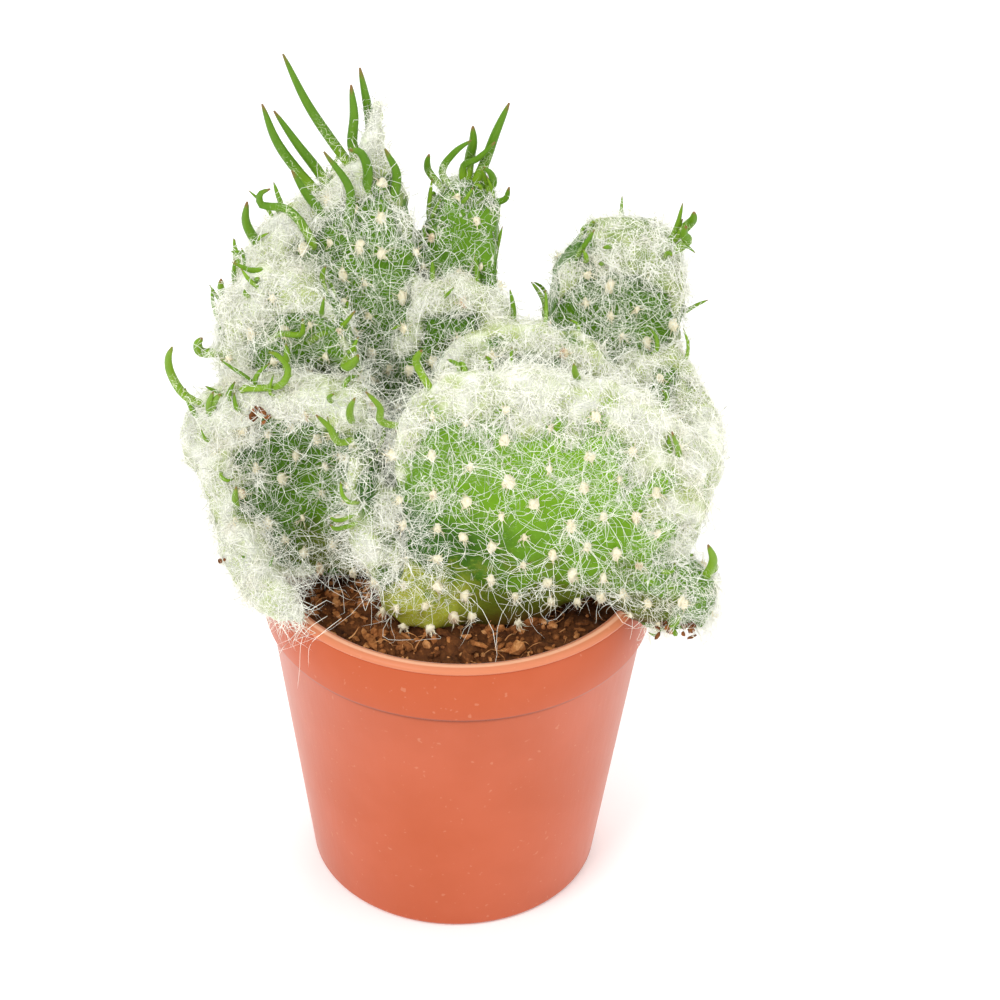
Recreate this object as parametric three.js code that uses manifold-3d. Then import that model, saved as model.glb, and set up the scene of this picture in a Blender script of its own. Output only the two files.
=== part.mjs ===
// A crested, woolly prickly pear in a plastic nursery pot.
// Millimetres, +Z up. The origin is the middle of the pot's underside.
import * as THREE from "three";
import { mergeVertices } from "three/addons/utils/BufferGeometryUtils.js";
import Module from "manifold-3d";

const wasm = await Module();
wasm.setup();

// Driving sizes of the pot
const POT_HEIGHT = 80.7;
const RIM_RADIUS = 42.5;
const COLLAR_HEIGHT = 13.7;
const COLLAR_STEP = 1.5;
const BASE_RADIUS = 32.2;
const BASE_ROUNDING = 3;
const WALL = 1.3;
const FLOOR_THICKNESS = 1.6;
const LIP_BEAD = 0.5;
const POT_SIDES = 36;
const DRAIN_HOLES = 6;
const DRAIN_RADIUS = 2.8;
const DRAIN_CIRCLE = 19;

// Driving sizes of the soil
const SOIL_TOP = 76.4;
const SOIL_LUMP = 1.3;
const SOIL_SIDES = 32;
const SOIL_RINGS = 7;
const STEM_HOLE_DEPTH = 11;

// Driving sizes of the plant
const GAP = 0.3;
const FELT_GAP = 0.4;
const FELT_EDGE = 1.1;
const FELT_OVERHANG = 0.8;
const FRONT_FELT = ["main", "offset"];
const SHORTEST_EDGE = 0.03;
const WELD = 0.001;
const RING_STEP = 11.5;
const FLESH_ROUND_POINTS = 3;
const WOOL_ROUND_POINTS = 5;
const FLESH_RISES = [0, 0.55];
const STEM = { x: 2, y: -7, halfWidth: 17, halfDepth: 9 };
const AREOLE_SPACING = 11.5;
const LOCK_SPACING = 11;
const AREOLE_LOWEST = 0.35;
const AREOLE_RADIUS = 1.45;
const LEAF_SIDES = 5;
const SMALL_LEAF_SIDES = 4;
const LOCK_SIDES = 3;
const LEAF_RADIUS = 1.35;
const LEAF_SUNK = 3;
const LONG_LEAF_SUNK = 8;
const LEAF_CLEAR = 3;
const WOOL_LUMP = 0.45;
const LOCK_LENGTH = 5;
const LOCK_RADIUS = 1.1;

// The folds of the crest. Each is a thick sheet between the line where it grows out of
// the stem (root) and its woolly growing edge (crest); both lists run the same way round.
// facing is the way that the first face looks, at the start, (middle) and end of the crest,
// bow pushes the middle of the sheet sideways, wool is the depth of the felt on each face.
const FOLDS = [
  {
    name: "main",
    facing: [[-0.3, -1, 0], [0, -1, 0], [0.2, -1, 0]],
    crest: [[-13, -16, 118], [-11, -15, 127], [-3, -14, 132], [9, -13, 133], [22, -13, 132], [35, -13, 129],
      [45, -13, 121], [50, -14, 110], [48, -16, 98], [40, -18, 89]],
    root: [[-9, -12, 76], [-6, -14, 76], [-2, -14, 76], [4, -14, 76], [10, -14, 76], [16, -13, 77],
      [19, -12, 78], [20, -11, 79], [20, -10, 80], [19, -9, 81]],
    crestThickness: 9, rootThickness: 15, bow: [1, -4, 0], wool: 13, woolThickness: 3,
    leaves: 8, leafLength: 7,
  },
  {
    name: "cup",
    facing: [[0.5, -0.8, 0.4], [0, -1, 0], [-1, -0.3, -0.3]],
    crest: [[-38, -15, 83], [-46, -15, 88], [-51, -12, 96], [-53, -9, 105], [-53, -6, 114], [-50, -5, 121],
      [-44, -6, 125], [-36, -8, 126], [-28, -11, 127], [-22, -15, 125], [-20, -20, 118], [-20, -23, 109],
      [-17, -25, 99], [-12, -25, 89]],
    root: [[-18, -7, 78], [-19, -6, 79], [-20, -4, 80], [-20, -2, 82], [-20, 0, 85], [-20, 1, 88],
      [-19, 2, 90], [-18, 2, 91], [-16, 1, 90], [-14, -2, 87], [-12, -5, 83], [-11, -8, 80],
      [-10, -10, 77], [-8, -12, 76]],
    crestThickness: 9, rootThickness: 11, bow: [0, 3, 0], wool: 12, woolThickness: 3,
    leaves: 10, leafLength: 9,
  },
  {
    name: "shoulder",
    facing: [[0, -1, 0], [0, -1, 0]],
    crest: [[-50, 2, 128], [-49, 3, 137], [-44, 4, 144], [-36, 4, 146], [-29, 2, 144], [-24, -1, 138], [-22, -2, 133]],
    root: [[-24, 4, 98], [-24, 5, 100], [-22, 6, 101], [-20, 6, 101], [-18, 5, 100], [-16, 3, 98], [-15, 1, 96]],
    crestThickness: 9, rootThickness: 12, bow: [0, 0, 0], wool: 11, woolThickness: 3,
    leaves: 8, leafLength: 9,
  },
  {
    name: "tall",
    facing: [[0, -1, 0], [0, -1, 0]],
    crest: [[-49, 8, 131], [-46, 11, 142], [-41, 14, 150], [-33, 16, 157], [-25, 18, 161], [-17, 19, 161],
      [-12, 19, 154], [-10, 17, 143]],
    root: [[-22, 8, 96], [-22, 9, 98], [-21, 10, 100], [-19, 10, 100], [-17, 10, 100], [-15, 10, 100],
      [-12, 10, 98], [-10, 9, 96]],
    crestThickness: 9, rootThickness: 14, bow: [0, 0, 0], wool: 10, woolThickness: 3,
    leaves: 6, leafLength: 9,
  },
  {
    name: "finger",
    facing: [[0, -1, 0], [0, -1, 0]],
    crest: [[-8, 22, 138], [-8, 24, 149], [-4, 25, 156], [1, 26, 157], [6, 25, 154], [7, 23, 146], [6, 21, 137]],
    root: [[-5, 12, 100], [-5, 13, 102], [-3, 14, 103], [0, 14, 103], [3, 14, 103], [4, 13, 102], [4, 12, 100]],
    crestThickness: 11, rootThickness: 14, bow: [0, 0, 0], wool: 8, woolThickness: 2.5,
    leaves: 6, leafLength: 6,
  },
  {
    name: "centre",
    facing: [[0, -1, 0], [0, -1, 0]],
    crest: [[-14, 8, 130], [-10, 11, 137], [-3, 13, 140], [4, 13, 139], [9, 12, 135], [13, 9, 128]],
    root: [[-8, 3, 94], [-6, 4, 96], [-3, 5, 97], [0, 5, 97], [3, 4, 96], [6, 3, 94]],
    crestThickness: 8, rootThickness: 12, bow: [0, 0, 0], wool: 9, woolThickness: 2.5,
    leaves: 4, leafLength: 6,
  },
  {
    name: "second",
    facing: [[0, -1, 0], [0, -1, 0]],
    crest: [[-7, -1, 120], [-4, 1, 129], [4, 3, 133], [13, 4, 134], [23, 4, 133], [30, 2, 129], [33, 0, 121]],
    root: [[-4, -4, 92], [-2, -4, 93], [2, -3, 94], [7, -3, 94], [12, -3, 94], [15, -3, 93], [16, -4, 92]],
    crestThickness: 7, rootThickness: 11, bow: [0, 0, 0], wool: 9, woolThickness: 2.5,
    leaves: 4, leafLength: 6,
  },
  {
    name: "head",
    facing: [[0, -1, 0], [0, -1, 0]],
    crest: [[19, 19, 118], [19, 21, 131], [22, 22, 140], [29, 23, 145], [37, 23, 146], [44, 22, 141], [46, 20, 133],
      [44, 17, 120]],
    root: [[13, 9, 92], [14, 10, 93], [16, 11, 94], [18, 11, 94], [21, 11, 94], [23, 10, 93], [24, 9, 92],
      [24, 8, 90]],
    crestThickness: 15, rootThickness: 14, bow: [1, 2, 0], wool: 11, woolThickness: 2.5,
    leaves: 6, leafLength: 6,
  },
  {
    name: "lobe",
    facing: [[0, -1, 0], [0, -1, 0]],
    crest: [[30, 4, 118], [33, 7, 124], [39, 9, 126], [46, 9, 123], [51, 6, 116], [52, 1, 107], [49, -3, 98]],
    root: [[17, 2, 90], [18, 3, 91], [20, 4, 91], [21, 4, 90], [22, 3, 89], [21, 1, 87], [20, -2, 85]],
    crestThickness: 9, rootThickness: 12, bow: [0, 0, 0], wool: 10, woolThickness: 2.5,
    leaves: 4, leafLength: 6,
  },
  {
    name: "offset",
    facing: [[0, -1, 0], [0, -1, 0]],
    crest: [[36, -20, 91], [43, -23, 94], [50, -23, 91], [53, -23, 85], [50, -22, 79], [43, -20, 77]],
    root: [[27, -13, 84], [27, -13, 84], [28, -13, 83], [28, -13, 83], [28, -13, 82], [27, -13, 81]],
    crestThickness: 13, rootThickness: 9, bow: [0, 0, 0], wool: 5, woolThickness: 2,
    leaves: 6, leafLength: 8,
  },
  {
    name: "rear_left",
    facing: [[0.2, -1, 0.6], [0.4, -0.7, 0.7], [1, 0.2, 0]],
    crest: [[-38, 8, 93], [-44, 14, 101], [-44, 20, 111], [-37, 25, 119], [-27, 28, 121], [-17, 30, 116], [-12, 29, 105],
      [-12, 25, 94]],
    root: [[-17, 3, 80], [-18, 5, 82], [-18, 7, 84], [-16, 9, 86], [-14, 10, 86], [-11, 10, 84], [-9, 9, 82],
      [-8, 8, 80]],
    crestThickness: 9, rootThickness: 12, bow: [0, 0, 0], wool: 11, woolThickness: 3,
    leaves: 8, leafLength: 8,
  },
  {
    name: "rear_right",
    facing: [[-1, -0.2, 0.1], [0, -0.7, 0.7], [0, -1, 0.6]],
    crest: [[-4, 30, 92], [-3, 34, 103], [4, 36, 112], [15, 36, 115], [27, 33, 112], [37, 26, 106], [42, 18, 98],
      [40, 11, 89]],
    root: [[-2, 8, 80], [0, 9, 82], [3, 10, 84], [7, 10, 85], [11, 9, 85], [15, 8, 84], [17, 5, 82],
      [17, 2, 80]],
    crestThickness: 9, rootThickness: 12, bow: [0, 0, 0], wool: 11, woolThickness: 3,
    leaves: 8, leafLength: 7,
  },
];

// The long leaves that stand clear of the wool: foot, tip and a sideways bend
const LONG_LEAVES = [
  { foot: [-27, 18, 165], tip: [-37, 16, 190], bend: [2, 0, -2], radius: 1.5 },
  { foot: [-20, 19, 166], tip: [-21, 17, 187], bend: [1, 0, 0], radius: 1.5 },
  { foot: [-23, 17, 164], tip: [-23, 15, 184], bend: [1, 0, 0], radius: 1.2 },
  { foot: [-36, 15, 160], tip: [-41, 13, 181], bend: [3, 0, -3], radius: 1.4 },
  { foot: [-30, 17, 160], tip: [-39, 15, 178], bend: [2, 0, -3], radius: 1.2 },
  { foot: [-24, 12, 150], tip: [-28, 8, 172], bend: [3, 0, 1], radius: 1.4 },
  { foot: [-20, 14, 154], tip: [-23, 10, 172], bend: [4, 0, 2], radius: 1.3 },
  { foot: [-15, 15, 152], tip: [-16, 11, 172], bend: [5, 0, 2], radius: 1.3 },
  { foot: [-28, 12, 152], tip: [-35, 8, 168], bend: [2, 0, -2], radius: 1.3 },
  { foot: [-31, 8, 148], tip: [-42, 3, 161], bend: [2, -2, 6], radius: 1.5 },
  { foot: [-43, 11, 147], tip: [-45, 8, 161], bend: [-2, 0, 0], radius: 1.3 },
  { foot: [-37, 6, 141], tip: [-49, 2, 149], bend: [0, -1, 4], radius: 1.4 },
  { foot: [-47, 8, 136], tip: [-51, 4, 146], bend: [-1, 0, 0], radius: 1.1 },
  { foot: [-54, -5, 119], tip: [-60, -10, 137], bend: [-3, 0, 1], radius: 1.4 },
  { foot: [-49, 2, 128], tip: [-54, 0, 137], bend: [-1, 0, 0], radius: 1.1 },
  { foot: [-33, 0, 138], tip: [-42, -8, 136], bend: [1, -2, 4], radius: 1.3 },
  { foot: [-45, -8, 123], tip: [-36, -16, 139], bend: [8, -4, -4], radius: 1.2 },
  { foot: [-32, 0, 138], tip: [-22, -5, 145], bend: [2, -2, -3], radius: 1.3 },
  { foot: [-25, -10, 129], tip: [-21, -15, 140], bend: [2, 0, 0], radius: 1.1 },
  { foot: [-8, -15, 131], tip: [-8, -18, 143], bend: [-1, 0, 0], radius: 1.1 },
  { foot: [-21, -20, 120], tip: [-21, -28, 136], bend: [-2, -3, 0], radius: 1.3 },
  { foot: [-18, -20, 120], tip: [-19, -28, 136], bend: [4, -3, 0], radius: 1.2 },
  { foot: [-22, -21, 116], tip: [-29, -28, 131], bend: [0, -2, -2], radius: 1.2 },
  { foot: [-52, -6, 112], tip: [-51, -13, 126], bend: [-1, -3, 0], radius: 1.3 },
  { foot: [4, 25, 152], tip: [10, 24, 177], bend: [2, 0, -2], radius: 1.5 },
  { foot: [-5, 25, 151], tip: [2, 22, 168], bend: [-2, 0, 2], radius: 1.4 },
  { foot: [-8, 24, 150], tip: [-9, 22, 165], bend: [0, 0, 0], radius: 1 },
  { foot: [0, 26, 153], tip: [1, 24, 170], bend: [0, 0, 0], radius: 1 },
  { foot: [5, 24, 150], tip: [11, 20, 159], bend: [3, 0, -2], radius: 1.2 },
  { foot: [45, 21, 138], tip: [48, 18, 156], bend: [2, 0, 0], radius: 1.1 },
  { foot: [45, -14, 112], tip: [43, -25, 127], bend: [2, -3, -2], radius: 1.2 },
  { foot: [50, -23, 88], tip: [52, -27, 103], bend: [3, 0, 0], radius: 1.3 },
];

const WOOL_COLOUR = "#f1efe6";
const FLESH_COLOUR = "#4f8a2c";
const SOIL_COLOUR = "#3a261b";
const POT_COLOUR = "#cf6a49";

function vector(point) {
  return new THREE.Vector3(point[0], point[1], point[2]);
}

// A seeded stream of numbers between 0 and 1
function drawer(seed) {
  let state = seed;
  return () => {
    state = (state + 0x6d2b79f5) | 0;
    let mixed = Math.imul(state ^ (state >>> 15), 1 | state);
    mixed = (mixed + Math.imul(mixed ^ (mixed >>> 7), 61 | mixed)) ^ mixed;
    return ((mixed ^ (mixed >>> 14)) >>> 0) / 4294967296;
  };
}

// Smooth lumps of about the given size, between -1 and 1
function lumps(point, size) {
  const x = point.x / size;
  const y = point.y / size;
  const z = point.z / size;
  return (Math.sin(x * 2.1 + y * 1.3) + Math.sin(y * 2.7 - z * 1.9 + 1) + Math.sin(z * 2.3 + x * 1.7 + 2)) / 3;
}

// A closed skin over rings of points; a ring with one point is a pole
function skin(rings) {
  const positions = [];
  const index = [];
  const starts = [];
  for (const ring of rings) {
    starts.push(positions.length / 3);
    for (const point of ring) {
      positions.push(point.x, point.y, point.z);
    }
  }
  const sides = Math.max(...rings.map((ring) => ring.length));
  for (let row = 0; row + 1 < rings.length; row += 1) {
    for (let side = 0; side < sides; side += 1) {
      const next = (side + 1) % sides;
      const lowWide = rings[row].length > 1;
      const highWide = rings[row + 1].length > 1;
      const a = starts[row] + (lowWide ? side : 0);
      const b = starts[row] + (lowWide ? next : 0);
      const c = starts[row + 1] + (highWide ? next : 0);
      const d = starts[row + 1] + (highWide ? side : 0);
      if (lowWide) {
        index.push(a, b, c);
      }
      if (highWide) {
        index.push(a, c, d);
      }
    }
  }
  const geometry = new THREE.BufferGeometry();
  geometry.setAttribute("position", new THREE.Float32BufferAttribute(positions, 3));
  geometry.setIndex(index);
  return geometry;
}

function middleOf(ring) {
  const sum = new THREE.Vector3();
  for (const point of ring) {
    sum.add(point);
  }
  return sum.divideScalar(ring.length);
}

// The same skin with both ends closed over the middle of the end rings
function closedSkin(rings) {
  return skin([[middleOf(rings[0])], ...rings, [middleOf(rings[rings.length - 1])]]);
}

function signedVolume(positions, index) {
  const a = new THREE.Vector3();
  const b = new THREE.Vector3();
  const c = new THREE.Vector3();
  let volume = 0;
  for (let at = 0; at < index.length; at += 3) {
    a.fromArray(positions, index[at] * 3);
    b.fromArray(positions, index[at + 1] * 3);
    c.fromArray(positions, index[at + 2] * 3);
    volume += a.dot(b.cross(c));
  }
  return volume;
}

// A geometry as a boolean body, turned to face outward
function body(geometry, weld = WELD / 100) {
  const bare = new THREE.BufferGeometry();
  bare.setAttribute("position", geometry.getAttribute("position").clone());
  bare.setIndex(geometry.getIndex());
  const merged = mergeVertices(bare, weld);
  const vertProperties = Float32Array.from(merged.getAttribute("position").array);
  const triVerts = [];
  const corners = merged.getIndex().array;
  for (let at = 0; at < corners.length; at += 3) {
    const [a, b, c] = [corners[at], corners[at + 1], corners[at + 2]];
    if (a !== b && b !== c && c !== a) {
      triVerts.push(a, b, c);
    }
  }
  if (signedVolume(vertProperties, triVerts) < 0) {
    triVerts.reverse();
  }
  return new wasm.Manifold(new wasm.Mesh({ numProp: 3, vertProperties, triVerts: Uint32Array.from(triVerts) }));
}

function joined(bodies) {
  let round = bodies;
  while (round.length > 1) {
    const next = [];
    for (let at = 0; at < round.length; at += 2) {
      next.push(at + 1 < round.length ? round[at].add(round[at + 1]) : round[at]);
    }
    round = next;
  }
  return round[0];
}

function largest(whole) {
  const pieces = whole.decompose();
  pieces.sort((one, other) => other.volume() - one.volume());
  return pieces[0];
}

function geometryOf(whole) {
  const data = whole.getMesh();
  const geometry = new THREE.BufferGeometry();
  geometry.setAttribute("position", new THREE.BufferAttribute(Float32Array.from(data.vertProperties), 3));
  geometry.setIndex(new THREE.BufferAttribute(Uint32Array.from(data.triVerts), 1));
  return geometry;
}

// Vertices that lie in one place but belong to different corners are drawn a hair apart,
// each towards its own neighbours, so that the skin nowhere pinches itself
function unpinched(whole) {
  const data = whole.getMesh();
  const places = Float32Array.from(data.vertProperties);
  const cells = new Map();
  for (let at = 0; at < places.length; at += 3) {
    const key = [places[at], places[at + 1], places[at + 2]].map((value) => Math.round(value / WELD)).join();
    cells.set(key, [...(cells.get(key) ?? []), at / 3]);
  }
  const doubled = new Set([...cells.values()].filter((group) => group.length > 1).flat());
  const pull = new Map([...doubled].map((vertex) => [vertex, new THREE.Vector3()]));
  const corners = data.triVerts;
  for (let at = 0; at < corners.length; at += 3) {
    const face = [corners[at], corners[at + 1], corners[at + 2]];
    for (const vertex of face.filter((corner) => doubled.has(corner))) {
      const own = new THREE.Vector3().fromArray(data.vertProperties, vertex * 3);
      for (const other of face.filter((corner) => corner !== vertex)) {
        pull.get(vertex).add(new THREE.Vector3().fromArray(data.vertProperties, other * 3).sub(own));
      }
    }
  }
  for (const [vertex, direction] of pull) {
    direction.setLength(SHORTEST_EDGE / 2);
    places[vertex * 3] += direction.x;
    places[vertex * 3 + 1] += direction.y;
    places[vertex * 3 + 2] += direction.z;
  }
  return new wasm.Manifold(new wasm.Mesh({ numProp: 3, vertProperties: places, triVerts: corners }));
}

// The main body without slivers, scraps and sealed pockets
function settled(whole) {
  let clean = largest(whole.simplify(SHORTEST_EDGE));
  for (let pass = 0; pass < 2; pass += 1) {
    clean = largest(body(geometryOf(clean), WELD).simplify(SHORTEST_EDGE));
  }
  return unpinched(unpinched(clean));
}

function toMesh(name, whole, colour, roughness) {
  const geometry = geometryOf(whole);
  const material = new THREE.MeshStandardMaterial({ color: colour, roughness, metalness: 0 });
  const mesh = new THREE.Mesh(geometry, material);
  mesh.name = name;
  return mesh;
}

// Pot ---------------------------------------------------------------------------------

const COLLAR_FOOT = POT_HEIGHT - COLLAR_HEIGHT;
const BODY_TOP_RADIUS = RIM_RADIUS - COLLAR_STEP;

// Outside radius of the tapered body at a height below the collar
function bodyRadius(z) {
  return THREE.MathUtils.lerp(BASE_RADIUS, BODY_TOP_RADIUS, z / COLLAR_FOOT);
}

function potProfile() {
  const rounding = [];
  for (const turn of [0, 30, 60, 90]) {
    const angle = THREE.MathUtils.degToRad(turn);
    const radius = bodyRadius(BASE_ROUNDING) - BASE_ROUNDING * (1 - Math.sin(angle));
    rounding.push([radius, BASE_ROUNDING * (1 - Math.cos(angle))]);
  }
  return [
    [0, 0],
    ...rounding,
    [BODY_TOP_RADIUS, COLLAR_FOOT - 0.4],
    [RIM_RADIUS - 0.5, COLLAR_FOOT],
    [RIM_RADIUS - 0.2, COLLAR_FOOT + 0.8],
    [RIM_RADIUS - 0.2, POT_HEIGHT - 2],
    [RIM_RADIUS + LIP_BEAD * 0.4, POT_HEIGHT - 1.4],
    [RIM_RADIUS + LIP_BEAD * 0.4, POT_HEIGHT - 0.5],
    [RIM_RADIUS - 0.3, POT_HEIGHT],
    [RIM_RADIUS - WALL, POT_HEIGHT - 0.2],
    [RIM_RADIUS - WALL - 0.3, POT_HEIGHT - 1.2],
    [RIM_RADIUS - WALL - 0.3, COLLAR_FOOT],
    [BODY_TOP_RADIUS - WALL, COLLAR_FOOT - 1.4],
    [bodyRadius(FLOOR_THICKNESS + 3) - WALL, FLOOR_THICKNESS + 3],
    [bodyRadius(0) - WALL - 3, FLOOR_THICKNESS],
    [0, FLOOR_THICKNESS],
  ];
}

function lathe(profile, sides) {
  const points = profile.map(([radius, z]) => new THREE.Vector2(radius, z));
  const geometry = new THREE.LatheGeometry(points, sides);
  geometry.rotateX(Math.PI / 2);
  return body(geometry);
}

function drainHole(number) {
  const angle = (2 * Math.PI * number) / DRAIN_HOLES;
  const geometry = new THREE.CylinderGeometry(DRAIN_RADIUS, DRAIN_RADIUS, 4 * FLOOR_THICKNESS, 16);
  geometry.rotateX(Math.PI / 2);
  geometry.translate(DRAIN_CIRCLE * Math.cos(angle), DRAIN_CIRCLE * Math.sin(angle), 0);
  return body(geometry);
}

function makePot() {
  const holes = Array.from({ length: DRAIN_HOLES }, (_, number) => drainHole(number));
  return lathe(potProfile(), POT_SIDES).subtract(joined(holes));
}

// The room that the pot's collar takes, with a gap round it
function potRoom() {
  return lathe([
    [RIM_RADIUS - WALL - 0.3 - GAP, COLLAR_FOOT - 4],
    [RIM_RADIUS + LIP_BEAD + GAP, COLLAR_FOOT - 4],
    [RIM_RADIUS + LIP_BEAD + GAP, POT_HEIGHT + GAP],
    [RIM_RADIUS - WALL - 0.3 - GAP, POT_HEIGHT + GAP],
    [RIM_RADIUS - WALL - 0.3 - GAP, COLLAR_FOOT - 4],
  ], POT_SIDES);
}

// Soil --------------------------------------------------------------------------------

function soilRing(radius, z, lumpy) {
  const ring = [];
  for (let side = 0; side < SOIL_SIDES; side += 1) {
    const angle = (2 * Math.PI * side) / SOIL_SIDES;
    const point = new THREE.Vector3(radius * Math.cos(angle), radius * Math.sin(angle), z);
    point.z += lumpy * (lumps(point, 9) + 0.5 * lumps(point, 4));
    ring.push(point);
  }
  return ring;
}

// The filling of the pot; raised lifts its top, for the room that the plant leaves over it
function soilBody(raised) {
  const clear = WALL + GAP;
  const shrink = 1 / Math.cos(Math.PI / SOIL_SIDES);
  const outer = (RIM_RADIUS - clear - 0.3) / shrink / shrink;
  const rings = [
    soilRing(bodyRadius(0) - clear - 4, FLOOR_THICKNESS + GAP, 0),
    soilRing(bodyRadius(5) - clear - 0.4, FLOOR_THICKNESS + 4, 0),
    soilRing(BODY_TOP_RADIUS - clear - 0.4, COLLAR_FOOT - 1.8, 0),
    soilRing(outer, COLLAR_FOOT + 1, 0),
  ];
  for (let row = 0; row < SOIL_RINGS; row += 1) {
    const share = 1 - row / SOIL_RINGS;
    const hollow = 1.4 * share * share;
    rings.push(soilRing(outer * share, SOIL_TOP + raised - hollow + 0.6, SOIL_LUMP));
  }
  return body(closedSkin(rings));
}

function stemRing(z, swell) {
  const ring = [];
  for (let side = 0; side < 16; side += 1) {
    const angle = (2 * Math.PI * side) / 16;
    ring.push(new THREE.Vector3(
      STEM.x + (STEM.halfWidth + swell) * Math.cos(angle),
      STEM.y + (STEM.halfDepth + swell) * Math.sin(angle),
      z,
    ));
  }
  return ring;
}

// The foot of the stem: an upright oval that stands in a plain hole in the soil
function stemFoot(swell) {
  const low = SOIL_TOP - STEM_HOLE_DEPTH - swell;
  return body(closedSkin([stemRing(low, swell), stemRing(SOIL_TOP + 5, swell)]));
}

// The heart of the plant, from which all folds grow
function heart(swell) {
  const levels = [
    { z: SOIL_TOP + 1, x: 2, y: -7, wide: 17, deep: 9 },
    { z: 84, x: 2, y: -3, wide: 21, deep: 14 },
    { z: 94, x: 1, y: 1, wide: 22, deep: 15 },
    { z: 104, x: 0, y: 5, wide: 20, deep: 13 },
    { z: 114, x: 0, y: 7, wide: 12, deep: 7 },
  ];
  const rings = levels.map(({ z, x, y, wide, deep }) => {
    const ring = [];
    for (let side = 0; side < 12; side += 1) {
      const angle = (2 * Math.PI * side) / 12;
      ring.push(new THREE.Vector3(x + (wide + swell) * Math.cos(angle), y + (deep + swell) * Math.sin(angle), z));
    }
    return ring;
  });
  return body(closedSkin(rings));
}

// Folds -------------------------------------------------------------------------------

function withCurves(fold) {
  const crestCurve = new THREE.CatmullRomCurve3(fold.crest.map(vector), false, "centripetal");
  const rootCurve = new THREE.CatmullRomCurve3(fold.root.map(vector), false, "centripetal");
  const facingCurve = new THREE.CatmullRomCurve3(fold.facing.map(vector));
  return { ...fold, crestCurve, rootCurve, facingCurve, length: crestCurve.getLength(), bowVector: vector(fold.bow) };
}

// The cross-section of a fold at a share of the way along its crest
function sectionAt(fold, share) {
  const top = fold.crestCurve.getPoint(share);
  const foot = fold.rootCurve.getPoint(share);
  const upward = top.clone().sub(foot);
  const height = upward.length();
  upward.normalize();
  const tangent = fold.crestCurve.getTangent(share);
  const facing = fold.facingCurve.getPoint(share);
  const across = facing.addScaledVector(upward, -facing.dot(upward)).normalize();
  const fullness = 1 - 0.4 * Math.pow(Math.abs(2 * share - 1), 4);
  return { top, foot, upward, tangent, across, height, fullness };
}

function halfThickness(fold, section, rise) {
  return (THREE.MathUtils.lerp(fold.rootThickness, fold.crestThickness, rise) / 2) * section.fullness;
}

// A point of the fold's middle sheet, rise 0 at the root and 1 at the crest
function middlePoint(fold, section, rise) {
  const point = section.foot.clone().addScaledVector(section.upward, section.height * rise);
  return point.addScaledVector(fold.bowVector, 4 * rise * (1 - rise));
}

// A point on one face of the fold (side 1 or -1), out from the skin by lift
function facePoint(fold, section, rise, side, lift) {
  const out = halfThickness(fold, section, rise) + lift;
  return middlePoint(fold, section, rise).addScaledVector(section.across, side * out);
}

// The rounded edge of a section, from one face over the crest to the other
function roundEdge(fold, section, count, lift) {
  const half = halfThickness(fold, section, 1);
  const centreRise = 1 - half / section.height;
  const centre = middlePoint(fold, section, centreRise);
  const points = [];
  for (let step = 0; step < count; step += 1) {
    const angle = (Math.PI * step) / (count - 1);
    const direction = section.across.clone().multiplyScalar(Math.cos(angle));
    direction.addScaledVector(section.upward, Math.sin(angle));
    const out = half + lift(centre, direction);
    points.push(centre.clone().addScaledVector(direction, out));
  }
  return points;
}

function fleshRing(fold, share, swell) {
  const section = sectionAt(fold, share);
  const front = FLESH_RISES.map((rise) => facePoint(fold, section, rise, 1, swell));
  const back = FLESH_RISES.map((rise) => facePoint(fold, section, rise, -1, swell));
  return [...front, ...roundEdge(fold, section, FLESH_ROUND_POINTS, () => swell), ...back.reverse()];
}

// Felt is thin at its lower edge and thick and lumpy over the crest
function woolRing(fold, share, swell) {
  const section = sectionAt(fold, share);
  const low = Math.max(0.15, 1 - fold.wool / section.height);
  const middle = (low + 1) / 2;
  const thickness = (point) => fold.woolThickness * (1 + WOOL_LUMP * lumps(point, 4)) + swell;
  const lift = (centre, direction) => thickness(centre.clone().addScaledVector(direction, 8));
  const sides = [1, -1].map((side) => [
    facePoint(fold, section, low, side, FELT_EDGE + swell),
    facePoint(fold, section, middle, side, 0.85 * thickness(facePoint(fold, section, middle, side, 0)) + swell),
  ]);
  return [...sides[0], ...roundEdge(fold, section, WOOL_ROUND_POINTS, lift), ...sides[1].reverse()];
}

// A ring moved bodily along, so that a swollen fold is longer at both ends too
function moved(ring, direction, distance) {
  return ring.map((point) => point.clone().addScaledVector(direction, distance));
}

// A fold is put together from short slices, so that it may curl round on itself
function slices(fold, ringAt, swell) {
  const count = Math.round(fold.length / RING_STEP);
  const rings = [];
  for (let at = 0; at <= count; at += 1) {
    rings.push(ringAt(at / count));
  }
  const first = sectionAt(fold, 0);
  const last = sectionAt(fold, 1);
  rings[0] = moved(rings[0], first.upward.clone().cross(first.across), -swell);
  rings[count] = moved(rings[count], last.upward.clone().cross(last.across), swell);
  const parts = [];
  for (let at = 0; at < count; at += 1) {
    parts.push(body(closedSkin([rings[at], rings[at + 1]])));
  }
  return joined(parts);
}

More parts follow.
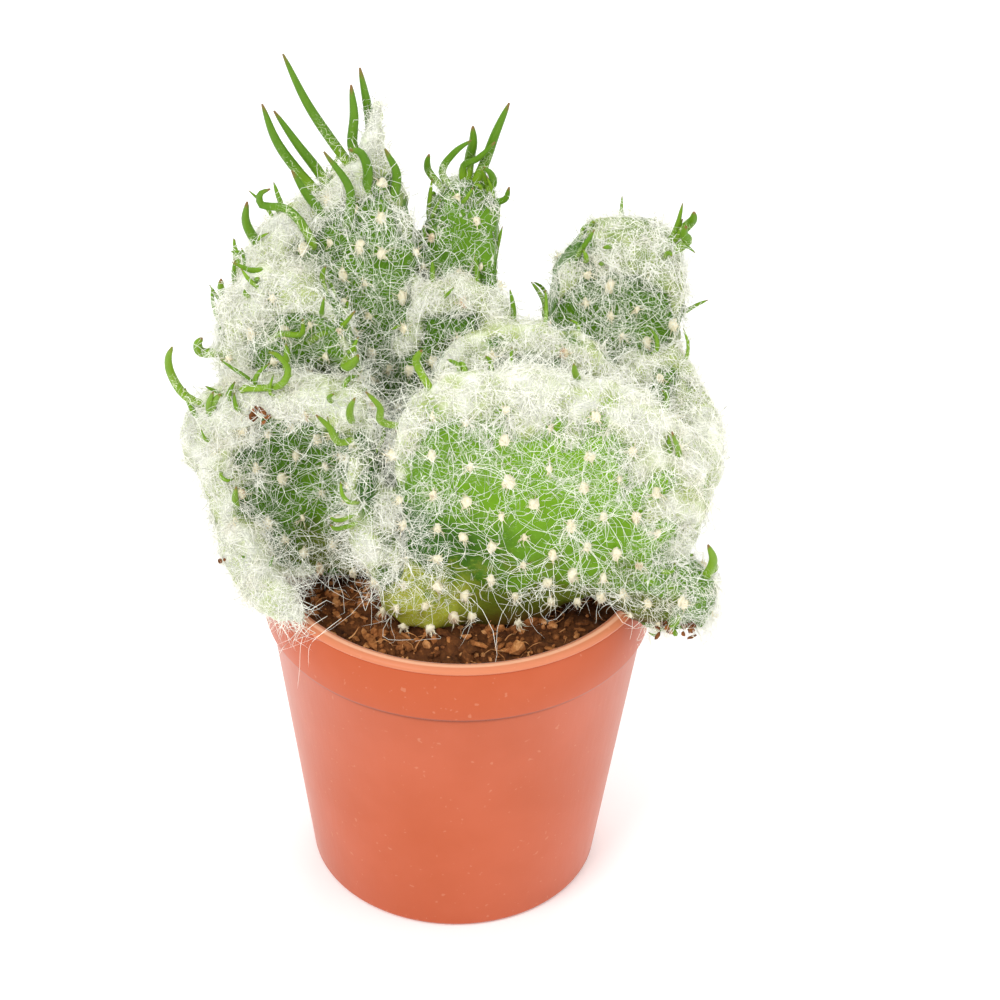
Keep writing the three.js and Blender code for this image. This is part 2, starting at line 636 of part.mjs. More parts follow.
// Tufts of spines (areoles) in a diagonal grid on both faces of a fold
function areoles(fold, swell) {
  const parts = [];
  const draw = drawer(fold.crest.length * 7919 + Math.round(fold.length * 10));
  const columns = Math.round(fold.length / AREOLE_SPACING);
  for (let column = 0; column < columns; column += 1) {
    const share = (column + 0.5) / columns;
    const section = sectionAt(fold, share);
    const rows = Math.ceil(section.height / AREOLE_SPACING);
    for (let row = 0; row < rows; row += 1) {
      const depth = fold.wool + (row + 0.25 + 0.5 * (column % 2)) * AREOLE_SPACING + 1.5 * (draw() - 0.5);
      const rise = 1 - depth / section.height;
      const sway = 1.5 * (draw() - 0.5);
      if (rise < AREOLE_LOWEST) {
        continue;
      }
      for (const side of [1, -1]) {
        const place = facePoint(fold, section, rise, side, 0.3);
        place.addScaledVector(section.tangent, sway);
        const knob = new THREE.OctahedronGeometry(AREOLE_RADIUS + swell, 0);
        knob.translate(place.x, place.y, place.z);
        parts.push(body(mergeVertices(knob.deleteAttribute("normal").deleteAttribute("uv"), 1e-4)));
      }
    }
  }
  return parts;
}

// An awl-shaped leaf along a bent line, widest near its foot, closed at both ends
function leaf(foot, tip, bend, radius, sides, spans, swell) {
  const middle = foot.clone().add(tip).multiplyScalar(0.5).add(bend);
  const line = new THREE.QuadraticBezierCurve3(foot, middle, tip);
  const rings = [];
  for (let step = 0; step < spans; step += 1) {
    const share = step / spans;
    const centre = line.getPoint(share);
    const tangent = line.getTangent(share);
    const side = new THREE.Vector3(0, 1, 0.2).cross(tangent).normalize();
    const other = tangent.clone().cross(side);
    const reach = radius * (0.85 + 0.6 * share) * Math.sqrt(1 - share) * (1 - 0.25 * share) + swell;
    const ring = [];
    for (let corner = 0; corner < sides; corner += 1) {
      const angle = (2 * Math.PI * corner) / sides;
      const point = centre.clone().addScaledVector(side, reach * Math.cos(angle));
      ring.push(point.addScaledVector(other, reach * Math.sin(angle)));
    }
    rings.push(ring);
  }
  const end = tip.clone().addScaledVector(line.getTangent(1), 2 * swell);
  return body(skin([[middleOf(rings[0])], ...rings, [end]]));
}

function longLeaves(swell) {
  return LONG_LEAVES.map(({ foot, tip, bend, radius }) => {
    const from = vector(foot);
    const to = vector(tip);
    from.addScaledVector(to.clone().sub(from).normalize(), -LONG_LEAF_SUNK);
    return leaf(from, to, vector(bend), radius, LEAF_SIDES, 4, swell);
  });
}

// Small leaves that spring from just below the felt and curl up in front of it
function smallLeaves(fold, swell) {
  const parts = [];
  const draw = drawer(fold.crest.length * 104729 + fold.leaves);
  for (let number = 0; number < fold.leaves; number += 1) {
    const share = (number + 0.1 + 0.8 * draw()) / fold.leaves;
    const section = sectionAt(fold, share);
    const side = number % 2 === 0 ? 1 : -1;
    const rise = Math.max(0.3, 1 - (fold.wool + LEAF_CLEAR + 4 * draw()) / section.height);
    const outward = section.across.clone().multiplyScalar(side);
    const foot = facePoint(fold, section, rise, side, -LEAF_SUNK);
    const length = fold.leafLength * (0.75 + 0.5 * draw());
    const tip = foot.clone().addScaledVector(outward, LEAF_SUNK + 0.7 * length);
    tip.addScaledVector(section.upward, 0.7 * length * draw());
    tip.addScaledVector(section.tangent, length * (draw() - 0.5));
    const bend = outward.multiplyScalar(1.5);
    parts.push(leaf(foot, tip, bend, LEAF_RADIUS * (0.8 + 0.25 * draw()), SMALL_LEAF_SIDES, 2, swell));
  }
  return parts;
}

// The folds, the heart that they grow from, and the long leaves
function flesh(folds, swell) {
  const sheets = folds.map((fold) => slices(fold, (share) => fleshRing(fold, share, swell), swell));
  return joined([heart(swell), ...sheets, ...longLeaves(swell)]);
}

// The repeats of a fold that keep a gap to the felt; the felt has no holes for them
function clearOf(felt, makeRepeats) {
  const swollen = makeRepeats(GAP);
  return makeRepeats(0).filter((_, at) => swollen[at].intersect(felt).isEmpty());
}

// Curled locks of hair that stand out of the felt
function locks(fold, swell) {
  const parts = [];
  const draw = drawer(fold.crest.length * 15485863 + fold.wool);
  const count = Math.round(fold.length / LOCK_SPACING);
  for (let number = 0; number < count; number += 1) {
    const share = 0.04 + 0.92 * ((number + draw()) / count);
    const section = sectionAt(fold, share);
    const side = number % 2 === 0 ? 1 : -1;
    const slant = 0.4 + 1.4 * draw();
    const outward = section.upward.clone().addScaledVector(section.across, side * slant).normalize();
    const half = halfThickness(fold, section, 1);
    const centre = middlePoint(fold, section, 1 - half / section.height);
    const foot = centre.clone().addScaledVector(outward, half + 0.4);
    const tip = foot.clone().addScaledVector(outward, fold.woolThickness + LOCK_LENGTH * 0.6);
    tip.addScaledVector(section.tangent, LOCK_LENGTH * (draw() - 0.5));
    tip.z -= 1.5 * draw();
    parts.push(leaf(foot, tip, outward.clone().multiplyScalar(1), LOCK_RADIUS, LOCK_SIDES, 2, swell));
  }
  return parts;
}

function feltOf(fold, swell) {
  const band = slices(fold, (share) => woolRing(fold, share, swell), FELT_OVERHANG + swell);
  return joined([band, ...locks(fold, swell)]);
}

// Assembly ----------------------------------------------------------------------------

function makeGroup() {
  const group = new THREE.Group();
  group.name = "potted_crested_prickly_pear";
  const folds = FOLDS.map(withCurves);
  const ground = soilBody(GAP).add(potRoom());

  const pot = makePot();
  const soil = soilBody(0).subtract(stemFoot(GAP));
  const inFront = (fold) => FRONT_FELT.includes(fold.name);
  const frontFolds = folds.filter(inFront);
  const otherFolds = folds.filter((fold) => !inFront(fold));
  const frontBands = joined(frontFolds.map((fold) => feltOf(fold, 0)));
  const frontRoom = joined(frontFolds.map((fold) => feltOf(fold, FELT_GAP)));
  const otherBands = joined(otherFolds.map((fold) => feltOf(fold, 0)));
  const bands = frontBands.add(otherBands);
  const tufts = folds.flatMap((fold) => clearOf(bands, (swell) => areoles(fold, swell)));
  const leaves = folds.flatMap((fold) => clearOf(bands, (swell) => smallLeaves(fold, swell)));
  const taken = joined([flesh(folds, FELT_GAP), flesh(folds, FELT_GAP / 4), ground]);
  const green = joined([flesh(folds, 0), ...tufts, ...leaves]);
  const plant = green.subtract(ground).add(stemFoot(0));
  group.add(toMesh("pot", pot, POT_COLOUR, 0.45));
  group.add(toMesh("soil", soil, SOIL_COLOUR, 0.95));
  group.add(toMesh("plant", settled(plant), FLESH_COLOUR, 0.55));
  group.add(toMesh("wool_front", settled(frontBands.subtract(taken)), WOOL_COLOUR, 0.95));
  group.add(toMesh("wool_crown", settled(otherBands.subtract(taken).subtract(frontRoom)), WOOL_COLOUR, 0.95));
  return group;
}

export default makeGroup();
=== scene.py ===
"""A crested, woolly prickly pear in a plastic nursery pot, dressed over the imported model."""
import math

import bmesh
import bpy
import numpy as np
from mathutils import Matrix, Vector, noise
from mathutils.bvhtree import BVHTree
from mathutils.kdtree import KDTree


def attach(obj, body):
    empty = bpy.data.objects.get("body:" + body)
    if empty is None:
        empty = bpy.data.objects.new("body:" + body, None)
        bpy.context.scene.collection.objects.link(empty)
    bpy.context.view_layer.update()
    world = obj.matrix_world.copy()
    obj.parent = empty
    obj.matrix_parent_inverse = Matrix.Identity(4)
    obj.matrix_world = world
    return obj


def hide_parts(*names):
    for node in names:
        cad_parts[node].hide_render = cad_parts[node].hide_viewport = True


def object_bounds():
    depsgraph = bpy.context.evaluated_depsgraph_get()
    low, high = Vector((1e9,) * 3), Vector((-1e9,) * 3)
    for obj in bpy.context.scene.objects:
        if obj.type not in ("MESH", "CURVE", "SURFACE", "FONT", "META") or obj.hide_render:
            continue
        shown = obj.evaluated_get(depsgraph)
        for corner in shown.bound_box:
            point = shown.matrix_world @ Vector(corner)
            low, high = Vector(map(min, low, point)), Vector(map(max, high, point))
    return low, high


bl_info = {
    "name": "Potted crested prickly pear",
    "version": (1, 0, 0),
    "blender": (4, 5, 0),
    "location": "View3D > Sidebar > Prickly pear",
    "description": "Builds the pot, the soil, the folded plant, its leaves, spine tufts and white hair",
    "category": "Object",
}

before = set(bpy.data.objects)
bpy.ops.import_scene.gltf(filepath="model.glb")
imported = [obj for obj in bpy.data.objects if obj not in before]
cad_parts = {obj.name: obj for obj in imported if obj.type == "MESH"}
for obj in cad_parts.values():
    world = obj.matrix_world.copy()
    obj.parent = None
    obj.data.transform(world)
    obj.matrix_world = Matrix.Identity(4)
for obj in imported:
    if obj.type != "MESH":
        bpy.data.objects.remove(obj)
CAD_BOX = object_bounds()
MM = 0.001

# Pot and soil: sizes in millimetres, and counts
POT_HEIGHT = 80.7
RIM_RADIUS = 42.5
COLLAR_HEIGHT = 13.7
COLLAR_STEP = 1.5
BASE_RADIUS = 32.2
BASE_ROUNDING = 1.3
WALL = 1.3
LIP_WIDTH = 3.6
FLOOR_THICKNESS = 1.6
POT_STEPS = 160
DRAIN_HOLES = 6
DRAIN_RADIUS = 2.8
DRAIN_CIRCLE = 19.0
SOIL_TOP = 76.4
SOIL_LUMP = 1.3
SOIL_GAP = 0.3
SOIL_CROWN = 0.6
SOIL_DISH = 1.4
SOIL_SHARE = 0.9
SOIL_RINGS = 44
SOIL_STEPS = 150
FIBRES = 130
COLLAR_FOOT = POT_HEIGHT - COLLAR_HEIGHT
BODY_TOP_RADIUS = RIM_RADIUS - COLLAR_STEP
# The stem in the soil: the middle of its oval, its half width and its half depth
STEM = (2.0, -7.0, 17.0, 9.0)

# Plant: sizes in millimetres, and counts
VOXEL = 1.08
FELT_VOXEL = 1.25
RING_STEP = 3.0
LEAST_RINGS = 6
FACE_STEPS = 7
ROUND_STEPS = 8
FELT_STEPS = 6
CREST_SAMPLES = 80
AREOLE_SPACING = 8.0
AREOLE_RADIUS = 1.35
BRISTLES = 12
TUBERCLE_HEIGHT = 0.9
TUBERCLE_WIDTH = 2.6
LONG_LEAF_SUNK = 2.0
LONG_LEAF_RINGS = 16
LONG_LEAF_SIDES = 8
SMALL_LEAF_RINGS = 8
SMALL_LEAF_SIDES = 6
LOCK_POINTS = 12
STRAY_POINTS = 12
# Leaves rooted below the first height are young and yellow-green, those above the second
# full green
YOUNG_HEIGHTS = (138, 152)

# The camera stands in front of the pot and looks down at it; pixels are those of a
# 1000 x 1000 picture
CAMERA_DISTANCE = 493.0
CAMERA_HEIGHT = 438.0
CAMERA_PITCH = 34.92
CAMERA_YAW = 1.0
CAMERA_ROLL = 1.55
CAMERA_FOCAL_PIXELS = 2814.0
SENSOR_WIDTH = 36.0
PICTURE_PIXELS = 1000.0

# White hair passes light on from strand to strand; this painted glow of the hair's own colour stands in for
# the light that comes back out and lightens the hair in shade
PAINTED_HAIR_GLOW = 0.13
# How many crest hairs stand in a bunch, and the most hairs that one piece holds
BUNCH = 9
MOST_SHORT_HAIRS = 11500
MOST_LONG_HAIRS = 4800
# The farthest that a point of a hair may be moved out of the flesh, in millimetres
FARTHEST_LIFT = 3.2

# The seeds of the random draws, one for each group of pieces
SEEDS = {"soil": 11, "flesh": 21, "leaves": 31, "tufts": 41, "felt": 45, "hair": 51}

# What a fold has unless its own entry says otherwise
FOLD_DEFAULTS = {"facing": [(0, -1, 0), (0, -1, 0)], "bow": (0, 0, 0), "spread": [1.0, 1.0]}

# The folds of the crest, in millimetres: the woolly growing edge (crest) and the line where
# each grows out of the stem (root), the way its first face looks (facing), its thickness at
# both, a sideways bow, how far down the wool reaches, along the fold times the spread, and
# how thick the felt lies, how bright the flesh is from deep to bright green (tone), and how
# many small leaves stand in the wool
# A low tone's deep green is partly the flesh's own colour and partly painted shade on the folds that lie
# between others
FOLDS = {
    "main": {
        "facing": [(-0.3, -1, 0), (0, -1, 0), (0.2, -1, 0)],
        "crest": [(-13, -16, 118), (-11, -15, 127), (-3, -14, 132), (9, -13, 133), (22, -13, 132),
                  (35, -13, 129), (45, -13, 121), (50, -14, 110), (48, -16, 98), (40, -18, 89)],
        "root": [(-9, -12, 76), (-6, -14, 76), (-2, -14, 76), (4, -14, 76), (10, -14, 76),
                 (16, -13, 77), (19, -12, 78), (20, -11, 79), (20, -10, 80), (19, -9, 81)],
        "thickness": (9, 15), "bow": (1, -4, 0), "wool": 13, "felt": 1.9,
        "tone": 0.92, "leaves": 8,
        "spread": [1.2, 1.15, 1.1, 1.1, 1.2, 1.6, 2.2, 2.4, 2.2, 1.6],
    },
    "cup": {
        "facing": [(0.5, -0.8, 0.4), (0, -1, 0), (-1, -0.3, -0.3)],
        "crest": [(-38, -15, 83), (-46, -15, 88), (-51, -12, 96), (-53, -9, 105), (-53, -6, 114),
                  (-50, -5, 121), (-44, -6, 125), (-36, -8, 126), (-28, -11, 127), (-22, -15, 125),
                  (-20, -20, 118), (-20, -23, 109), (-17, -25, 99), (-12, -25, 89)],
        "root": [(-18, -7, 78), (-19, -6, 79), (-20, -4, 80), (-20, -2, 82), (-20, 0, 85),
                 (-20, 1, 88), (-19, 2, 90), (-18, 2, 91), (-16, 1, 90), (-14, -2, 87),
                 (-12, -5, 83), (-11, -8, 80), (-10, -10, 77), (-8, -12, 76)],
        "thickness": (9, 11), "bow": (0, 3, 0), "wool": 12, "felt": 2.2,
        "tone": 0.12, "leaves": 22,
        "spread": [1.2, 1.3, 1.3, 1.3, 1.3, 1.2, 1.1, 1, 0.9, 0.8, 0.7, 0.6, 0.6, 0.6],
    },
    "shoulder": {
        "crest": [(-50, 2, 128), (-49, 3, 137), (-44, 4, 144), (-36, 4, 146), (-29, 2, 144),
                  (-24, -1, 138), (-22, -2, 133)],
        "root": [(-24, 4, 98), (-24, 5, 100), (-22, 6, 101), (-20, 6, 101), (-18, 5, 100),
                 (-16, 3, 98), (-15, 1, 96)],
        "thickness": (9, 12), "wool": 11, "felt": 2.0,
        "tone": 0.3, "leaves": 14,
    },
    "tall": {
        "crest": [(-49, 8, 131), (-46, 11, 142), (-41, 14, 150), (-33, 16, 157), (-25, 18, 162),
                  (-18, 19, 165), (-13, 19, 158), (-10, 17, 143)],
        "root": [(-22, 8, 96), (-22, 9, 98), (-21, 10, 100), (-19, 10, 100), (-17, 10, 100),
                 (-15, 10, 100), (-12, 10, 98), (-10, 9, 96)],
        "spread": [1.5, 1.5],
        "thickness": (9, 14), "wool": 10, "felt": 1.8,
        "tone": 0.25, "leaves": 12,
    },
    "finger": {
        "crest": [(-8, 22, 138), (-8, 24, 149), (-4, 25, 156), (1, 26, 157), (6, 25, 154),
                  (7, 23, 146), (6, 21, 137)],
        "root": [(-5, 12, 100), (-5, 13, 102), (-3, 14, 103), (0, 14, 103), (3, 14, 103),
                 (4, 13, 102), (4, 12, 100)],
        "thickness": (11, 14), "wool": 7, "felt": 1.0,
        "tone": 0.4, "leaves": 14,
    },
    "centre": {
        "crest": [(-14, 8, 130), (-10, 11, 137), (-3, 13, 140), (4, 13, 139), (9, 12, 135),
                  (13, 9, 128)],
        "root": [(-8, 3, 94), (-6, 4, 96), (-3, 5, 97), (0, 5, 97), (3, 4, 96), (6, 3, 94)],
        "thickness": (8, 12), "wool": 9, "felt": 1.8,
        "tone": 0.1, "leaves": 6,
    },
    "second": {
        "crest": [(-7, -1, 120), (-4, 1, 129), (4, 3, 133), (13, 4, 134), (23, 4, 133),
                  (30, 2, 129), (33, 0, 121)],
        "root": [(-4, -4, 92), (-2, -4, 93), (2, -3, 94), (7, -3, 94), (12, -3, 94),
                 (15, -3, 93), (16, -4, 92)],
        "thickness": (7, 11), "wool": 9, "felt": 1.6,
        "tone": 0.1, "leaves": 5,
    },
    "head": {
        "crest": [(19, 19, 118), (18, 21, 131), (21, 22, 142), (29, 23, 148), (37, 23, 148),
                  (44, 22, 143), (46, 20, 133), (44, 17, 120)],
        "root": [(13, 9, 92), (14, 10, 93), (16, 11, 94), (18, 11, 94), (21, 11, 94),
                 (23, 10, 93), (24, 9, 92), (24, 8, 90)],
        "thickness": (15, 14), "bow": (1, 2, 0), "wool": 11, "felt": 1.8,
        "tone": 0.15, "leaves": 18,
    },
    "lobe": {
        "crest": [(30, 4, 118), (33, 7, 124), (39, 9, 126), (46, 9, 123), (51, 6, 116),
                  (52, 1, 107), (49, -3, 98)],
        "root": [(17, 2, 90), (18, 3, 91), (20, 4, 91), (21, 4, 90), (22, 3, 89),
                 (21, 1, 87), (20, -2, 85)],
        "thickness": (9, 12), "wool": 10, "felt": 1.8,
        "tone": 0.3, "leaves": 7,
    },
    "offset": {
        "crest": [(36, -20, 91), (43, -23, 94), (50, -23, 91), (53, -23, 85), (50, -22, 79),
                  (43, -20, 77)],
        "root": [(27, -13, 84), (27, -13, 84), (28, -13, 83), (28, -13, 83), (28, -13, 82),
                 (27, -13, 81)],
        "thickness": (13, 9), "wool": 5, "felt": 1.5,
        "tone": 0.6, "leaves": 10,
    },
    "rear_left": {
        "facing": [(0.2, -1, 0.6), (0.4, -0.7, 0.7), (1, 0.2, 0)],
        "crest": [(-38, 8, 93), (-44, 14, 101), (-44, 20, 111), (-37, 25, 119), (-27, 28, 121),
                  (-17, 30, 116), (-12, 29, 105), (-12, 25, 94)],
        "root": [(-17, 3, 80), (-18, 5, 82), (-18, 7, 84), (-16, 9, 86), (-14, 10, 86),
                 (-11, 10, 84), (-9, 9, 82), (-8, 8, 80)],
        "thickness": (9, 12), "wool": 11, "felt": 2.2,
        "tone": 0.5, "leaves": 16,
    },
    "rear_right": {
        "facing": [(-1, -0.2, 0.1), (0, -0.7, 0.7), (0, -1, 0.6)],
        "crest": [(-4, 30, 92), (-3, 34, 103), (4, 36, 112), (15, 36, 115), (27, 33, 112),
                  (37, 26, 106), (42, 18, 98), (40, 11, 89)],
        "root": [(-2, 8, 80), (0, 9, 82), (3, 10, 84), (7, 10, 85), (11, 9, 85),
                 (15, 8, 84), (17, 5, 82), (17, 2, 80)],
        "thickness": (9, 12), "wool": 11, "felt": 2.2,
        "tone": 0.55, "leaves": 14,
    },
}

# The heart of the plant and the swollen foot in front of the stem: for each ring its height,
# its middle, its half width and its half depth, in millimetres
HEART = [
    (64.5, STEM[0], STEM[1], 16.5, 8.5), (SOIL_TOP + 1, 2, -7, 17, 9), (84, 2, -3, 21, 14),
    (94, 1, 1, 22, 15), (104, 0, 5, 20, 13), (114, 0, 7, 12, 7),
]
FOOT_BULGE = [
    (75.0, -4, -17, 6, 4), (78.5, -5, -19, 9, 6), (83, -7, -19.5, 9.5, 6.5), (88, -9, -19.5, 8, 6),
    (93, -11, -19, 5, 4),
]

# The long leaves: the points of each from foot to tip, and its radius, in millimetres
LONG_LEAVES = [
    ([(-27.2, 18, 169.5), (-32.1, 17, 178.5), (-36.6, 16, 189.7)], 1.35),
    ([(-19.5, 19, 173.5), (-21.4, 17, 186.5)], 1.35),
    ([(-22.9, 17, 168.3), (-22.6, 16, 176.5), (-23.1, 15, 183.7)], 1.35),
    ([(-34.6, 15, 164.8), (-38.3, 14, 171.6), (-40.8, 13, 180.1)], 1.35),
    ([(-30.1, 17, 163.1), (-34, 16, 169.5), (-38.6, 15, 177.6)], 1.35),
    ([(-24.1, 12, 153.4), (-23.3, 10, 162.7), (-28.3, 8, 172.3)], 1.35),
    ([(-21, 14, 156.8), (-19.7, 12.7, 165.4), (-21.3, 11.3, 170.7), (-23.4, 10, 171.8)], 1.35),
    ([(-15.5, 15, 155.5), (-13.9, 13, 164.7), (-16.2, 11, 171.6)], 1.35),
    ([(-28.3, 12, 155.5), (-31.8, 10, 161.1), (-34.8, 8, 167.9)], 1.35),
    ([(-30.8, 8, 150.7), (-33.3, 7, 156.8), (-36.4, 6, 160.5), (-40.8, 5, 161.6), (-41, 4, 164.7),
      (-38.9, 3, 166.4)], 1.2),
    ([(-42.5, 11, 149.6), (-44.5, 9.5, 155.1), (-44, 8, 160.6)], 1.35),
    ([(-36.8, 6, 142.2), (-39.9, 4.7, 146.3), (-43.5, 3.3, 147.5), (-46.9, 2, 150)], 1),
    ([(-47.8, 8, 136.5), (-49.6, 6, 140.6), (-49.5, 4, 144.8)], 1.35),
    ([(-56.4, -5, 121.6), (-59.4, -6.7, 128.4), (-59.6, -8.3, 133.3), (-58.5, -10, 137)], 1.2),
    ([(-54, 2, 128.4), (-54.5, 1, 131), (-53.5, 0, 133.1)], 1.35),
    ([(-39.7, 0, 132.9), (-37.3, -2, 135.6), (-32.9, -4, 136.9), (-32.3, -6, 141.7)], 1),
    ([(-35.9, -6, 130.2), (-35.6, -7, 133.9), (-35.7, -8, 137)], 1),
    ([(-44.9, -8, 125.9), (-39.5, -9.2, 127.1), (-36.5, -10.4, 128.9), (-35.1, -11.6, 133.3),
      (-37.2, -12.8, 137.3), (-38.7, -14, 138.7)], 1),
    ([(-31.5, 0, 132.6), (-28.7, -1.7, 135.8), (-25.2, -3.3, 137.9), (-21.8, -5, 143.2)], 1),
    ([(-23.7, -10, 133), (-22, -12.5, 135.5), (-20.8, -15, 139)], 1.35),
    ([(-9.2, -15, 137.4), (-8.8, -16.5, 140.2), (-8, -18, 142.3)], 1),
    ([(-22.3, -20, 127.4), (-22.1, -23.5, 131.9), (-21, -27, 136.5)], 1),
    ([(-15.9, -20, 126.4), (-16.2, -23.5, 132.2), (-18.8, -27, 138)], 1),
    ([(-24.5, -21, 122), (-26.3, -24.5, 127.9), (-28.6, -28, 133)], 1),
    ([(-51.3, -6, 117.7), (-51.7, -9, 122.6), (-50.4, -12, 127.7)], 1),
    ([(3.8, 25, 160.9), (6.2, 24.5, 168.9), (8.7, 24, 175.8)], 1.35),
    ([(-0.3, 25, 160.6), (2.6, 23.5, 163.3), (6, 22, 167.9)], 1),
    ([(-4.8, 24, 159.6), (-2.2, 23, 164.9), (1.1, 22, 168.2)], 1),
    ([(-7.5, 24, 159.6), (-7.9, 23, 162.2), (-7.5, 22, 164.8)], 1),
    ([(0.9, 26, 162.2), (1.5, 25, 166.2), (1.4, 24, 170.4)], 1.35),
    ([(5.7, 23, 153.1), (8.3, 21.5, 154.9), (9.1, 20, 158.6)], 1),
    ([(5.8, 23, 157.6), (5.3, 22, 160.5), (3.8, 21, 162.6)], 1),
    ([(46.8, 21, 150.1), (47.5, 20, 151.9), (47.5, 19, 154.1)], 1.35),
    ([(46.6, 20, 146.6), (45.7, 19, 148.8), (46, 18, 151.3)], 1.35),
    ([(43.9, -14, 111.1), (44.3, -19.5, 119.3), (42.1, -25, 128.5)], 1),
    ([(23.3, -13, 132.5), (22.7, -15, 135.9), (22.3, -17, 139.1)], 1),
    ([(51.4, -23, 91.7), (52.4, -25, 97.1), (50.9, -27, 102.3)], 1.35),
    ([(-46.7, -12, 99.2), (-46.5, -15, 103.9), (-45.9, -18, 108.5)], 1),
    ([(-51.1, -7, 120.3), (-50.3, -10, 124.4), (-48.9, -13, 127.9)], 1),
]

# Locks of felt that hang from a crest or stand on it: their middle line and the radius at
# each point, in millimetres
WOOL_LOCKS = [
    ([(-46, -13, 95), (-44.5, -16.5, 89.5), (-41, -21, 86), (-36, -26, 84), (-31, -29, 82.5)],
     [5, 5.5, 5, 4, 1.5]),
    ([(49, -12, 127), (51.5, -11, 120), (52.3, -11, 114), (51.3, -10, 107), (48, -10, 100)],
     [1.5, 3.2, 3.2, 3, 1.5]),
    ([(-53, -3, 123), (-55.3, -5, 116), (-55.3, -6, 109), (-53, -7, 102)], [1.5, 3, 3, 1.5]),
    ([(-18, 18, 156), (-18.5, 18, 164), (-19, 17.5, 169), (-18.8, 17, 174), (-17.6, 17, 180)],
     [5, 4.5, 3.4, 2.2, 0.7]),
]

# Single hairs that hang over the rim, in millimetres
STRAY_HAIRS = [
    [(-27, -29, 84), (-30.5, -31.4, 82.8), (-32.4, -29.8, 78), (-33.0, -29.2, 70), (-33.6, -28.6, 64)],
    [(-24, -31, 85), (-28.0, -33.6, 82.9), (-30.6, -31.6, 78), (-31.0, -31.2, 72)],
    [(-33, -24, 85), (-36.2, -24.6, 82.9), (-36.8, -24.4, 79), (-37.4, -23.6, 74)],
    [(-37, -17, 86), (-40.2, -17.6, 83), (-40.8, -16.8, 79), (-40.2, -18.0, 73)],
    [(33, -25, 85), (36.0, -25.4, 82.9), (36.6, -24.9, 79), (36.2, -25.4, 76)],
]

# Where a few crumbs cling under the offset, in millimetres
CLINGING_CRUMBS = [(40.5, -32, 80.5), (44, -31, 79.5), (47.5, -31, 80.5), (50, -31, 79.0)]

# Where brown bits of dead leaf are caught in the wool, in millimetres
BROWN_BITS = [
    (-42.2, -16, 122), (-40.8, -17, 118.5), (-49.6, -20, 92.3), (-9.7, -17, 117.2), (-8.4, -19, 113.7),
    (-11.6, -15, 121.2),
]

# Where the flesh shows almost bare: the middle and the half widths of each spot, in millimetres
BARE_SPOTS = [
    ((14, -27, 106), (15, 24, 9)), ((-31, -11, 109), (10, 18, 17)), ((0, 4, 128), (8, 10, 8)),
]

# The directions that the layers of fine hair in the materials run across
HAIR_WAYS = [(1, 0.2, 0.1), (0.1, 0.3, 1), (0.7, -0.2, 0.7), (-0.7, 0.3, 0.7), (0.2, 1, 0.4)]

# Shader tools ----------------------------------------------------------------------------

class Value:
    """A shader socket that can be added, multiplied and so on."""

    def __init__(self, paint, socket):
        self.paint = paint
        self.socket = socket

    def _maths(self, operation, first, second):
        return self.paint.node("ShaderNodeMath", {"operation": operation}, {0: first, 1: second})

    def __add__(self, other):
        return self._maths("ADD", self, other)

    def __radd__(self, other):
        return self._maths("ADD", other, self)

    def __sub__(self, other):
        return self._maths("SUBTRACT", self, other)

    def __rsub__(self, other):
        return self._maths("SUBTRACT", other, self)

    def __mul__(self, other):
        return self._maths("MULTIPLY", self, other)

    def __rmul__(self, other):
        return self._maths("MULTIPLY", other, self)


